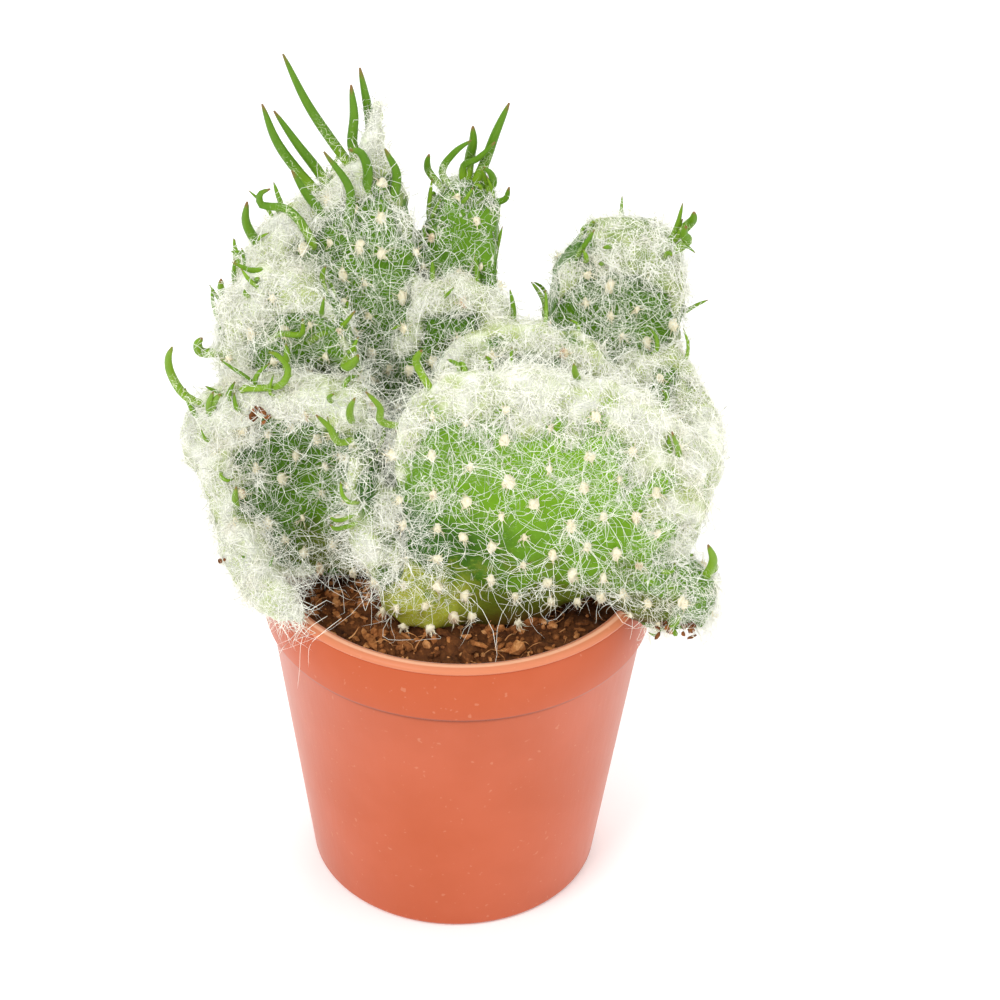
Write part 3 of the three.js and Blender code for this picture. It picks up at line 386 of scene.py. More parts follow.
class Paint:
    """A material under construction: one node method, and a few shapes of it."""

    def __init__(self, name):
        self.material = bpy.data.materials.new(name)
        self.material.use_nodes = True
        self.tree = self.material.node_tree
        self.tree.nodes.clear()
        self.output = self.tree.nodes.new("ShaderNodeOutputMaterial")
        self.shader = self.tree.nodes.new("ShaderNodeBsdfPrincipled")
        self.tree.links.new(self.shader.outputs[0], self.output.inputs[0])
        self.place = self.node("ShaderNodeTexCoord", output="Object")
        self.normal = self.node("ShaderNodeNewGeometry", output="Normal")

    def feed(self, socket, value):
        if isinstance(value, Value):
            self.tree.links.new(value.socket, socket)
        else:
            socket.default_value = value

    def node(self, kind, settings=None, values=None, output=0):
        node = self.tree.nodes.new(kind)
        for key, value in (settings or {}).items():
            if key == "stops":
                self._set_stops(node.color_ramp, value)
            else:
                setattr(node, key, value)
        for key, value in (values or {}).items():
            self.feed(node.inputs[key], value)
        return Value(self, node.outputs[output])

    @staticmethod
    def _set_stops(ramp, stops):
        while len(ramp.elements) > 1:
            ramp.elements.remove(ramp.elements[-1])
        ramp.elements[0].position, ramp.elements[0].color = stops[0]
        for position, colour in stops[1:]:
            ramp.elements.new(position).color = colour

    def noise(self, scale, detail=4.0, roughness=0.55, distortion=0.0, vector=None):
        return self.node("ShaderNodeTexNoise", None, {
            "Vector": vector or self.place, "Scale": scale, "Detail": detail,
            "Roughness": roughness, "Distortion": distortion,
        })

    def stretched(self, scale):
        return self.node("ShaderNodeMapping", None, {"Vector": self.place, "Scale": scale})

    def step(self, value, low, high):
        return self.node("ShaderNodeMapRange", {"interpolation_type": "SMOOTHSTEP"}, {
            "Value": value, "From Min": low, "From Max": high,
        })

    def mix(self, mask, first, second):
        return self.node("ShaderNodeMix", {"data_type": "RGBA"}, {0: mask, 6: first, 7: second}, 2)

    def vector(self, operation, first, second, output=0):
        return self.node("ShaderNodeVectorMath", {"operation": operation}, {0: first, 1: second}, output)

    def threads(self, direction, spacing, thickness, waves, seed):
        """Thin wavy hairs: warped lines across a direction, broken here and there.

        Sizes are in metres. Where the skin looks along the direction the lines fade out."""
        moved = self.vector("ADD", self.place, (seed, seed * 2.3, seed * 0.7))
        warp = self.noise(waves, 1.0, 0.5, 0.0, moved) + self.noise(waves * 3.0, 1.0, 0.5, 0.0, moved) * 0.18
        across = self.vector("DOT_PRODUCT", self.place, direction, "Value") * (1 / spacing)
        turn = self.node("ShaderNodeMath", {"operation": "FRACT"}, {0: across + warp * 7.0})
        line = self.node("ShaderNodeMath", {"operation": "ABSOLUTE"}, {0: turn - 0.5})
        share = thickness / spacing
        clear = self.vector("CROSS_PRODUCT", self.normal, direction)
        clear = self.step(self.vector("LENGTH", clear, (0, 0, 0), "Value"), 0.6, 0.9)
        broken = self.step(self.noise(waves * 0.5, 1.0, 0.5, 0.0, moved), 0.43, 0.56)
        return (1 - self.step(line, share * 0.35, share)) * clear * broken

    def web(self, spacing, thickness, waves):
        """Several layers of hairs laid over each other in different directions."""
        total = 0.0
        for number, direction in enumerate(HAIR_WAYS):
            way = Vector(direction).normalized()
            layer = self.threads(way, spacing * (0.8 + 0.1 * number), thickness,
                                 waves * (0.75 + 0.13 * number), 0.11 + 0.17 * number)
            total = layer + total
        return total

    def height(self):
        return self.node("ShaderNodeSeparateXYZ", None, {0: self.place}, 2)

    def attribute(self, name):
        return self.node("ShaderNodeAttribute", {"attribute_name": name}, None, "Fac")

    def bump(self, height, distance, strength):
        values = {"Height": height, "Distance": distance, "Strength": strength}
        return self.node("ShaderNodeBump", None, values)

    def finish(self, **sockets):
        for name, value in sockets.items():
            self.feed(self.shader.inputs[name.replace("_", " ")], value)
        return self.material


def colour(red, green, blue):
    """A colour given as 0 to 255 screen values, as the linear colour that Blender wants."""
    def linear(value):
        share = value / 255.0
        return share / 12.92 if share <= 0.04045 else ((share + 0.055) / 1.055) ** 2.4
    return (linear(red), linear(green), linear(blue), 1.0)


# Mesh tools ------------------------------------------------------------------------------

def new_object(name, mesh, material):
    piece = bpy.data.objects.new(name, mesh)
    bpy.context.scene.collection.objects.link(piece)
    mesh.materials.clear()
    mesh.materials.append(material)
    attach(piece, "root")
    return piece


def smooth(mesh, angle=180.0):
    mesh.shade_smooth()
    if angle < 180.0:
        mesh.set_sharp_from_angle(angle=math.radians(angle))


def evaluated(mesh, *modifiers):
    """A copy of the mesh with these modifiers applied, each as (type, settings)."""
    carrier = bpy.data.objects.new("carrier", mesh)
    bpy.context.scene.collection.objects.link(carrier)
    for number, (kind, settings) in enumerate(modifiers):
        modifier = carrier.modifiers.new("step_%d" % number, kind)
        for key, value in settings.items():
            setattr(modifier, key, value)
    bpy.context.view_layer.update()
    graph = bpy.context.evaluated_depsgraph_get()
    result = bpy.data.meshes.new_from_object(carrier.evaluated_get(graph))
    bpy.data.objects.remove(carrier)
    return result


def spun(profile, steps):
    """A closed turned body round the Z axis from (radius, height) points in millimetres."""
    bm = bmesh.new()
    corners = [bm.verts.new((radius * MM, 0.0, z * MM)) for radius, z in profile]
    edges = [bm.edges.new(pair) for pair in zip(corners, corners[1:])]
    bmesh.ops.spin(bm, geom=corners + edges, cent=(0, 0, 0), axis=(0, 0, 1), angle=2 * math.pi,
                   steps=steps, use_merge=True)
    bmesh.ops.remove_doubles(bm, verts=bm.verts, dist=1e-6)
    bmesh.ops.recalc_face_normals(bm, faces=bm.faces)
    return bm


def mesh_from(bm, name):
    mesh = bpy.data.meshes.new(name)
    bm.to_mesh(mesh)
    bm.free()
    return mesh


def loft(bm, rings):
    """Draws a ring out through all the rings of points (millimetres) and caps both ends."""
    made = bmesh.ops.create_circle(bm, segments=len(rings[0]), radius=MM)
    row = made["verts"]
    edges = list(dict.fromkeys(edge for corner in row for edge in corner.link_edges))
    place_ring(row, rings[0])
    cap_ring(bm, edges)
    for ring in rings[1:]:
        drawn = bmesh.ops.extrude_edge_only(bm, edges=edges)["geom"]
        fresh = {item for item in drawn if isinstance(item, bmesh.types.BMVert)}
        edges = [item for item in drawn if isinstance(item, bmesh.types.BMEdge)
                 and item.verts[0] in fresh and item.verts[1] in fresh]
        row = [next(edge.other_vert(corner) for edge in corner.link_edges
                    if edge.other_vert(corner) in fresh) for corner in row]
        place_ring(row, ring)
    cap_ring(bm, edges)


def place_ring(row, ring):
    for corner, point in zip(row, ring):
        corner.co = Vector(point) * MM


def cap_ring(bm, edges):
    cap = bmesh.ops.contextual_create(bm, geom=edges)["faces"]
    bmesh.ops.poke(bm, faces=cap)


def fused(bm, name, voxel, factor, iterations):
    """The lofted forms in the bmesh, fused by a voxel remesh and smoothed."""
    bmesh.ops.recalc_face_normals(bm, faces=bm.faces)
    mesh = evaluated(
        mesh_from(bm, name + "_rough"),
        ("REMESH", {"mode": "VOXEL", "voxel_size": voxel * MM, "adaptivity": 0.0}),
        ("SMOOTH", {"factor": factor, "iterations": iterations}),
    )
    mesh.name = name
    return mesh


def positions_of(mesh):
    places = np.empty(len(mesh.vertices) * 3, dtype=np.float32)
    mesh.vertices.foreach_get("co", places)
    return places.reshape(-1, 3).astype(float) / MM


def normals_of(mesh):
    normals = np.empty(len(mesh.vertices) * 3, dtype=np.float32)
    mesh.vertex_normals.foreach_get("vector", normals)
    return normals.reshape(-1, 3).astype(float)


def set_positions(mesh, places):
    mesh.vertices.foreach_set("co", (places * MM).astype(np.float32).ravel())
    mesh.update()


def set_values(mesh, name, values):
    """Gives every corner of the mesh a number that its material reads by this name."""
    mesh.attributes.new(name, "FLOAT", "POINT").data.foreach_set("value", np.asarray(values, np.float32))


def finder_of(places):
    """A search tree that gives the numbers of the places near a point."""
    finder = KDTree(len(places))
    for number, place in enumerate(places):
        finder.insert(Vector(place), number)
    finder.balance()
    return finder


def unit(vectors):
    length = np.linalg.norm(vectors, axis=-1, keepdims=True)
    return vectors / np.maximum(length, 1e-9)


def lumps(places, size):
    """Smooth lumps of about the given size in millimetres, between -1 and 1."""
    x, y, z = (places / size).T
    return (np.sin(x * 2.1 + y * 1.3) + np.sin(y * 2.7 - z * 1.9 + 1) + np.sin(z * 2.3 + x * 1.7 + 2)) / 3


def grain(places, size, seed=0.0):
    """Cloudy noise of the given size in millimetres, about -1 to 1."""
    shift = Vector((seed * 17.3, seed * 5.7, seed * 11.1))
    return np.array([noise.noise(Vector(place) / size + shift) for place in places]) * 1.6


# Folds -----------------------------------------------------------------------------------

def spline(points, share):
    """The point at a share of a smooth line through the points."""
    last = len(points) - 1
    place = share * last
    at = min(int(place), last - 1)
    weight = place - at
    start, end = points[at], points[at + 1]
    before = points[at - 1] if at > 0 else 2 * start - end
    after = points[at + 2] if at + 2 <= last else 2 * end - start
    gap = [max(np.linalg.norm(far - near), 1e-8) ** 0.5
           for near, far in ((before, start), (start, end), (end, after))]
    gap[1] = gap[1] if gap[1] > 1e-4 else 1.0
    gap[0] = gap[0] if gap[0] > 1e-4 else gap[1]
    gap[2] = gap[2] if gap[2] > 1e-4 else gap[1]
    leaving = (start - before) / gap[0] - (end - before) / (gap[0] + gap[1]) + (end - start) / gap[1]
    arriving = (end - start) / gap[1] - (after - start) / (gap[1] + gap[2]) + (after - end) / gap[2]
    leaving, arriving = leaving * gap[1], arriving * gap[1]
    square = -3 * start + 3 * end - 2 * leaving - arriving
    cube = 2 * start - 2 * end + leaving + arriving
    return start + leaving * weight + square * weight ** 2 + cube * weight ** 3


def path_points(points, count):
    """This many points along a smooth line through the given ones."""
    line = [np.array(point, float) for point in points]
    return np.array([spline(line, share) for share in np.linspace(0, 1, count)])


class Fold:
    """One fold of the crest and the sheet between its root and its crest."""

    def __init__(self, facts):
        facts = {**FOLD_DEFAULTS, **facts}
        self.crest = [np.array(point, float) for point in facts["crest"]]
        self.root = [np.array(point, float) for point in facts["root"]]
        self.facing = [np.array(point, float) for point in facts["facing"]]
        self.bow = np.array(facts["bow"], float)
        self.crest_thickness, self.root_thickness = facts["thickness"]
        self.wool = facts["wool"]
        self.felt = facts["felt"]
        self.spread = facts["spread"]
        self.tone = facts["tone"]
        self.leaves = facts["leaves"]
        line = path_points(self.crest, 60)
        self.length = np.linalg.norm(np.diff(line, axis=0), axis=1).sum()
        self.rings = max(LEAST_RINGS, round(self.length / RING_STEP))

    def section(self, share):
        top = spline(self.crest, share)
        foot = spline(self.root, share)
        upward = top - foot
        height = np.linalg.norm(upward)
        upward = upward / height
        step = 1e-3
        tangent = spline(self.crest, min(share + step, 1)) - spline(self.crest, max(share - step, 0))
        tangent = tangent / np.linalg.norm(tangent)
        facing = spline(self.facing, share)
        across = facing - upward * facing.dot(upward)
        across = across / np.linalg.norm(across)
        fullness = 1 - 0.4 * abs(2 * share - 1) ** 4
        return {"top": top, "foot": foot, "upward": upward, "height": height, "tangent": tangent,
                "across": across, "fullness": fullness}

    def depth(self, share):
        """How far down from the crest the wool reaches at a share of the fold."""
        return self.wool * np.interp(share, np.linspace(0, 1, len(self.spread)), self.spread)

    def half(self, section, rise):
        thickness = self.root_thickness + (self.crest_thickness - self.root_thickness) * rise
        return thickness / 2 * section["fullness"]

    def middle(self, section, rise):
        point = section["foot"] + section["upward"] * section["height"] * rise
        return point + self.bow * 4 * rise * (1 - rise)

    def face(self, section, rise, side, lift=0.0):
        return self.middle(section, rise) + section["across"] * side * (self.half(section, rise) + lift)

    def centre_rise(self, section):
        """How far up the section the middle of the rounded crest lies, from 0 to 1."""
        return 1 - self.half(section, 1) / section["height"]

    def edge(self, section, centre_rise, swell=0.0):
        """The round of the crest from one face to the other, swollen outward if wanted."""
        half, start = self.half(section, 1), self.half(section, centre_rise)
        centre = self.middle(section, centre_rise)
        points = []
        for step in range(ROUND_STEPS + 1):
            angle = math.pi * step / ROUND_STEPS
            reach = half + (start - half) * abs(math.cos(angle)) + swell
            way = section["across"] * math.cos(angle) + section["upward"] * math.sin(angle)
            points.append(centre + reach * way)
        return points

    def ring(self, share):
        """A closed cross-section: up one face, round the crest and down the other."""
        section = self.section(share)
        centre_rise = self.centre_rise(section)
        rises = np.linspace(0, centre_rise, FACE_STEPS, endpoint=False)
        front = [self.face(section, rise, 1) for rise in rises]
        back = [self.face(section, rise, -1) for rise in rises[::-1]]
        return front + self.edge(section, centre_rise) + back

    def felt_ring(self, share, swell=1.0, shift=0.0):
        """The section of the felt: a saddle whose feet end inside the flesh."""
        section = self.section(share)
        centre_rise = self.centre_rise(section)
        place = share * self.length
        ragged = [1 + 0.3 * math.sin(place / 5 + side) + 0.18 * math.sin(place / 2.3 + 2 * side)
                  for side in (0, 4)]
        shares = np.linspace(0, 1, FELT_STEPS, endpoint=False)
        lifts = -1.0 + (self.felt + 1.0) * swell * shares ** 0.85
        lows = [min(1 - self.depth(share) * more / section["height"], centre_rise - 0.06) for more in ragged]
        edge = self.edge(section, centre_rise, self.felt * swell)
        front, back = ([self.face(section, low + (centre_rise - low) * up, side, lift)
                        for up, lift in zip(shares, lifts)] for low, side in zip(lows, (1, -1)))
        return [point + section["tangent"] * shift for point in front + edge + back[::-1]]

    def felt_end(self, share):
        """A small ring past an end of the felt, which rounds it off."""
        return self.felt_ring(share, 0.35, 1.8 if share else -1.8)

    def crest_centres(self, count):
        """Points along the middle of the rounded crest, inside the flesh."""
        points = []
        for share in np.linspace(0, 1, count):
            section = self.section(share)
            points.append(section["top"] - section["upward"] * self.half(section, 1))
        return points


def ellipse(x, y, wide, deep, z, sides):
    angles = np.linspace(0, 2 * math.pi, sides, endpoint=False)
    return [(x + wide * math.cos(angle), y + deep * math.sin(angle), z) for angle in angles]


def flesh_mesh(folds):
    """All folds and the heart of the plant, fused by a voxel remesh and smoothed."""
    bm = bmesh.new()
    for fold in folds:
        loft(bm, [fold.ring(at / fold.rings) for at in range(fold.rings + 1)])
    for rings, sides in ((HEART, 32), (FOOT_BULGE, 24)):
        loft(bm, [ellipse(x, y, wide, deep, z, sides) for z, x, y, wide, deep in rings])
    return fused(bm, "flesh", VOXEL, 0.6, 7)


class Surface:
    """A mesh of quads, read once, with random points over it."""

    def __init__(self, mesh):
        self.mesh = mesh
        self.faces = [tuple(face.vertices) for face in mesh.polygons]
        self.refresh()

    def refresh(self):
        self.places = positions_of(self.mesh)
        self.normals = normals_of(self.mesh)
        self.tree = BVHTree.FromPolygons([Vector(place) for place in self.places], self.faces)

    def scatter(self, random, count, density):
        """Random points, their normals and their corner numbers; density is per corner."""
        quads = np.array([face for face in self.faces if len(face) == 4])
        corners = self.places[quads]
        area = np.linalg.norm(np.cross(corners[:, 2] - corners[:, 0], corners[:, 3] - corners[:, 1]), axis=1)
        weight = area * density[quads].mean(axis=1)
        chosen = quads[random.choice(len(quads), count, p=weight / weight.sum())]
        u, v = random.uniform(size=(2, count, 1))
        share = np.stack([(1 - u) * (1 - v), u * (1 - v), u * v, (1 - u) * v], axis=1)
        points = (self.places[chosen] * share).sum(axis=1)
        normals = unit((self.normals[chosen] * share).sum(axis=1))
        return points, normals, chosen[:, 0]


class Skin(Surface):
    """The finished flesh with what the other pieces need to know about it."""

    def __init__(self, folds, mesh):
        super().__init__(mesh)
        self.folds = folds
        self.fold, self.ratio, _ = nearest_crest(folds, self.places)

    def on_surface(self, point, deepest=1.4):
        """The nearest point of the skin and its normal, or None if it lies deep inside."""
        found, normal, _, distance = self.tree.find_nearest(Vector(point))
        if found is None or distance > deepest:
            return None
        return np.array(found), np.array(normal)


def nearest_crest(folds, places):
    """For each place: which fold's crest is nearest, how far it is over that fold's wool
    depth, and the way from the crest to the place."""
    crest = [(point, which, fold.depth(at / (CREST_SAMPLES - 1))) for which, fold in enumerate(folds)
             for at, point in enumerate(fold.crest_centres(CREST_SAMPLES))]
    finder = finder_of([point for point, _, _ in crest])
    found = [finder.find(Vector(place)) for place in places]
    fold = np.array([crest[at][1] for _, at, _ in found])
    ratio = np.array([distance / crest[at][2] for _, at, distance in found])
    return fold, ratio, unit(places - np.array([point for point, _, _ in found]))


def areole_places(skin, random):
    """Where the spine tufts sit: a diagonal grid over both faces of every fold."""
    places = []
    for fold in skin.folds:
        columns = max(2, round(fold.length / AREOLE_SPACING))
        for column in range(columns):
            section = fold.section((column + 0.5) / columns)
            rows = int(section["height"] / AREOLE_SPACING) + 1
            for row in range(rows):
                depth = (row + 0.35 + 0.5 * (column % 2)) * AREOLE_SPACING + random.uniform(-0.8, 0.8)
                rise = 1 - depth / section["height"]
                sway = random.uniform(-1.0, 1.0)
                if rise < 0.12:
                    continue
                for side in (1, -1):
                    guess = fold.face(section, rise, side) + section["tangent"] * sway
                    found = skin.on_surface(guess)
                    if found is None or found[0][2] < SOIL_TOP + 2.5:
                        continue
                    if all(np.linalg.norm(found[0] - other[0]) > 0.62 * AREOLE_SPACING for other in places):
                        places.append(found)
    for number in random.permutation(len(skin.places)):
        point = skin.places[number]
        if SOIL_TOP + 2 < point[2] < 91 and point[1] < -10 and skin.normals[number][1] < 0:
            apart = 4.8 if point[0] < 4 else 8.0
            if all(np.linalg.norm(point - other[0]) > apart for other in places):
                places.append((point, skin.normals[number]))
    return places


def raise_tubercles(skin, areoles, height):
    """A low swelling of the flesh under every tuft."""
    finder = finder_of(skin.places)
    lift = np.zeros(len(skin.places))
    for point, _ in areoles:
        for _, number, distance in finder.find_range(Vector(point), 2.2 * TUBERCLE_WIDTH):
            lift[number] = max(lift[number], height * math.exp(-((distance / TUBERCLE_WIDTH) ** 2)))
    wavy = 0.25 * grain(skin.places, 6.0, 1.0)
    set_positions(skin.mesh, skin.places + skin.normals * (lift + wavy)[:, None])
    skin.refresh()


# Strands ---------------------------------------------------------------------------------

def strand_mesh(name, paths, radii, sides=3):
    """Thin tapering tubes. paths is (count, points, 3) in millimetres, radii (count,).

    The mesh is filled from arrays, because operators are too slow for thousands of tubes."""
    count, points, _ = paths.shape
    forward = unit(np.gradient(paths, axis=1))
    helper = np.where(np.abs(forward[..., 2:3]) > 0.9, np.array([1.0, 0, 0]), np.array([0, 0, 1.0]))
    side = unit(np.cross(forward, helper))
    other = np.cross(forward, side)
    taper = np.linspace(1.0, 0.45, points)[None, :, None]
    reach = radii[:, None, None] * taper
    rings = points - 1
    places = np.empty((count, rings * sides + 1, 3))
    for corner in range(sides):
        angle = 2 * math.pi * corner / sides
        offset = side * math.cos(angle) + other * math.sin(angle)
        places[:, corner:rings * sides:sides, :] = (paths + offset * reach)[:, :rings]
    places[:, -1, :] = paths[:, -1]
    faces = []
    for ring in range(rings - 1):
        for corner in range(sides):
            after = (corner + 1) % sides
            low, high = ring * sides, (ring + 1) * sides
            faces.append((low + corner, low + after, high + after))
            faces.append((low + corner, high + after, high + corner))
    last = (rings - 1) * sides
    faces += [(last + corner, last + (corner + 1) % sides, rings * sides) for corner in range(sides)]
    faces += [(0, corner + 1, corner) for corner in range(1, sides - 1)]
    pattern = np.array(faces)
    step = rings * sides + 1
    triangles = (pattern[None] + (np.arange(count) * step)[:, None, None]).reshape(-1, 3)
    mesh = bpy.data.meshes.new(name)
    mesh.vertices.add(count * step)
    mesh.vertices.foreach_set("co", (places.reshape(-1, 3) * MM).astype(np.float32).ravel())
    mesh.loops.add(triangles.size)
    mesh.loops.foreach_set("vertex_index", triangles.ravel().astype(np.int32))
    mesh.polygons.add(len(triangles))
    mesh.polygons.foreach_set("loop_start", np.arange(0, triangles.size, 3, dtype=np.int32))
    mesh.update(calc_edges=True)
    mesh.validate()
    mesh.shade_smooth()
    return mesh


def curls(roots, directions, lengths, points, random, curl, droop, most_turns=1.5):
    """Curly paths: a drift along a bending direction with a turning curl laid over it."""
    count = len(roots)
    along = np.linspace(0, 1, points)[None, :, None]
    bend = unit(random.normal(size=(count, 3)))
    bend = bend - directions * (bend * directions).sum(1, keepdims=True)
    bend = unit(bend) * random.uniform(0.2, 0.9, size=(count, 1))
    drift = directions[:, None] * along + bend[:, None] * along ** 2
    drift = drift * lengths[:, None, None] * 0.8
    side = unit(np.cross(directions, random.normal(size=(count, 3))))
    other = np.cross(directions, side)
    turns = random.uniform(0.4, most_turns, size=(count, 1, 1)) * 2 * math.pi
    turns = turns * random.choice([-1, 1], size=(count, 1, 1))
    phase = random.uniform(0, 2 * math.pi, size=(count, 1, 1))
    reach = curl * lengths[:, None, None] * random.uniform(0.5, 1.3, size=(count, 1, 1))
    swing = np.cos(turns * along + phase) - np.cos(phase)
    sway = np.sin(turns * along + phase) - np.sin(phase)
    paths = roots[:, None] + drift + reach * (side[:, None] * swing + other[:, None] * sway)
    paths[..., 2] -= droop * lengths[:, None] * along[..., 0] ** 2
    return paths


def tube_rings(path, radii, sides, flatness=1.0):
    """Rings of points round a path, a little flattened from front to back if wanted."""
    forward = unit(np.gradient(path, axis=0))
    side = unit(np.cross(forward, np.array([0.0, -1.0, 0.2])))
    other = np.cross(side, forward)
    angles = np.linspace(0, 2 * math.pi, sides, endpoint=False)
    return [[path[at] + radii[at] * (side[at] * math.cos(angle) + flatness * other[at] * math.sin(angle))
             for angle in angles] for at in range(len(path))]


def leaf(bm, path, radius, sides):
    """An awl-shaped leaf: thickest in its lower half, drawn out to a point."""
    share = np.linspace(0, 0.985, len(path))
    radii = radius * (0.72 + 1.2 * share) * np.sqrt(1 - share) * (1 - 0.35 * share)
    loft(bm, tube_rings(path, radii, sides, 0.85))


def lifted(trees, paths, clearance, random):
    """Moves path points that are inside any of the trees out to just above their skin.

    A hair that would have to move far is left out."""
    flat = paths.reshape(-1, 3).copy()
    extra = random.uniform(0.0, 0.5, size=len(flat))
    for number, point in enumerate(flat):
        place = Vector(point)
        for tree in trees:
            found, normal, _, _ = tree.find_nearest(place)
            if (place - found).dot(normal) < clearance:
                place = found + normal * (clearance + extra[number])
        flat[number] = place
    moved = flat.reshape(paths.shape)
    shift = np.linalg.norm(moved - paths, axis=-1).max(axis=1)
    return moved[shift < FARTHEST_LIFT]


def inside_box(places, past=2.2, zone=1.0):
    """Draws places near the sides of the model's box softly in, in millimetres.

    The drawing in starts the zone's width inside each side, and nothing passes a side by
    more than past."""
    low, high = (np.array(corner) / MM for corner in CAD_BOX)
    reach = zone + past
    over = places - high + zone
    places = np.where(over > 0, high - zone + reach * (1 - np.exp(-over / reach)), places)
    under = low + zone - places
    return np.where(under > 0, low + zone - reach * (1 - np.exp(-under / reach)), places)


# What the later pieces need from the earlier ones: the folds, the skin, the felt and the tufts
GROWTH = {}


def grown(name):
    if name not in GROWTH:
        raise RuntimeError("the piece %s has to be made first" % name)
    return GROWTH[name]


# Settings --------------------------------------------------------------------------------

def colour_setting(name, description, red, green, blue):
    return bpy.props.FloatVectorProperty(
        name=name, description=description, subtype="COLOR", size=4, min=0.0, max=1.0,
        default=colour(red, green, blue))


def count_setting(name, description, default, least, most):
    return bpy.props.IntProperty(
        name=name, description=description, subtype="UNSIGNED", min=least, max=most, default=default)


def length_setting(name, description, default, least, most):
    return bpy.props.FloatProperty(
        name=name, description=description, unit="LENGTH", min=least * MM, max=most * MM,
        default=default * MM)


class PotSettings(bpy.types.PropertyGroup):
    plastic: colour_setting("Plastic", "Main colour of the pot", 186, 86, 48)
    # The groove colour is painted shade under the collar's step
    shade: colour_setting("Groove", "Colour of the line under the collar", 120, 48, 26)
    steps: count_setting("Steps", "How many facets go round the pot", POT_STEPS, 24, 256)


class SoilSettings(bpy.types.PropertyGroup):
    dark: colour_setting("Peat", "Colour of the damp peat", 104, 60, 28)
    light: colour_setting("Coir", "Colour of the dry coir and bark", 230, 170, 112)
    crumbs: count_setting("Crumbs", "How many crumbs lie on the soil", 1500, 1, 3000)
    crumb_size: length_setting("Crumb size", "Radius of an average crumb", 0.55, 0.1, 3)


class FleshSettings(bpy.types.PropertyGroup):
    bright: colour_setting("Bright green", "Flesh of the open front face", 122, 172, 22)
    # Deep green is partly painted shade on the folds between others
    deep: colour_setting("Deep green", "Flesh between the folds", 48, 92, 8)
    foot: colour_setting("Foot", "Yellowing flesh just above the soil", 176, 180, 56)
    tubercle: length_setting(
        "Tubercle height", "How far the flesh swells under each tuft", TUBERCLE_HEIGHT, 0, 3)


class LeafSettings(bpy.types.PropertyGroup):
    green: colour_setting("Leaf green", "Main colour of the leaves", 66, 116, 8)
    edge: colour_setting("Leaf foot", "Colour of the young foot of a leaf", 136, 172, 30)
    tip: colour_setting("Leaf tip", "Colour of the dried tips", 126, 92, 50)


class WoolSettings(bpy.types.PropertyGroup):
    white: colour_setting("Hair", "Colour of the white hair", 250, 250, 238)
    # The under-wool colour stands partly for green flesh showing through and partly for painted shade between
    # the hairs
    underwool: colour_setting("Under wool", "Colour in the depth of the felt", 168, 182, 112)
    cream: colour_setting("Tufts", "Colour of the spine tufts", 248, 234, 190)
    crest_hairs: count_setting("Crest hairs", "How many short hairs stand on the felt", 20000, BUNCH, 60000)
    face_hairs: count_setting("Face hairs", "How many short hairs lie on the faces", 9000, 1, 60000)
    web_hairs: count_setting("Web hairs", "How many long hairs run from tuft to tuft", 5800, 1, 20000)
    thickness: length_setting("Hair thickness", "Width of a hair at its foot", 0.16, 0.02, 0.5)


# Materials -------------------------------------------------------------------------------

def plastic_material(look):
    paint = Paint("terracotta_plastic")
    cloud = paint.noise(38.0, 3.0)
    scuffs = paint.noise(1.0, 4.0, 0.6, 0.0, paint.stretched((900.0, 900.0, 70.0)))
    pores = paint.noise(2600.0, 2.0)
    dust = paint.step(paint.noise(720.0, 1.0), 0.70, 0.76)
    height = paint.height()
    # Painted shade: a dark band painted in the groove under the collar's step
    groove = (paint.step(height, (COLLAR_FOOT - 1.6) * MM, (COLLAR_FOOT - 0.5) * MM)
              * (1 - paint.step(height, COLLAR_FOOT * MM, (COLLAR_FOOT + 0.7) * MM)))
    plain = tuple(look.plastic)
    pale = tuple(min(1.0, 1.12 * part + 0.02) for part in plain[:3]) + (1.0,)
    skin = paint.mix(paint.step(cloud, 0.35, 0.7) * 0.5, plain, pale)
    skin = paint.mix(dust * 0.25, skin, colour(214, 160, 128))
    # Painted highlight: a paler band painted all round the top of the lip
    lip = paint.step(height, (POT_HEIGHT - 1.6) * MM, (POT_HEIGHT - 0.9) * MM)
    skin = paint.mix(lip * 0.45, skin, colour(232, 160, 120))
    # Painted highlight: a thin bright line painted round the crown of the lip
    ring = paint.vector("LENGTH", paint.stretched((1.0, 1.0, 0.0)), (0, 0, 0), "Value")
    crown = (paint.step(ring, (RIM_RADIUS - 2.4) * MM, (RIM_RADIUS - 2.0) * MM)
             * (1 - paint.step(ring, (RIM_RADIUS - 1.4) * MM, (RIM_RADIUS - 1.0) * MM)) * lip)
    skin = paint.mix(crown * 0.55, skin, colour(252, 200, 168))
    # Painted shade in the groove under the collar
    skin = paint.mix(groove * 0.95, skin, tuple(look.shade))
    roughness = 0.33 + 0.12 * scuffs + 0.1 * dust
    normal = paint.bump(pores * 0.4 + scuffs * 0.6, 0.05 * MM, 0.5)
    return paint.finish(Base_Color=skin, Roughness=roughness, Normal=normal, Specular_IOR_Level=0.22,
                        Sheen_Weight=0.22, Sheen_Roughness=0.35)


def soil_material(look):
    paint = Paint("peat_and_coir")
    clods = paint.noise(420.0, 6.0, 0.7)
    fibres = paint.noise(1.0, 4.0, 0.7, 1.2, paint.stretched((900.0, 320.0, 600.0)))
    tint = paint.attribute("tint")
    ground = paint.node("ShaderNodeValToRGB", {"stops": [
        (0.28, colour(40, 17, 7)), (0.46, tuple(look.dark)), (0.62, colour(176, 112, 62)),
        (0.76, tuple(look.light)),
    ]}, {"Fac": clods * 0.55 + fibres * 0.25 + tint * 0.3})
    normal = paint.bump(clods * 0.7 + fibres * 0.3, 0.9 * MM, 0.9)
    return paint.finish(Base_Color=ground, Roughness=0.75 + 0.2 * clods, Normal=normal,
                        Specular_IOR_Level=0.2)


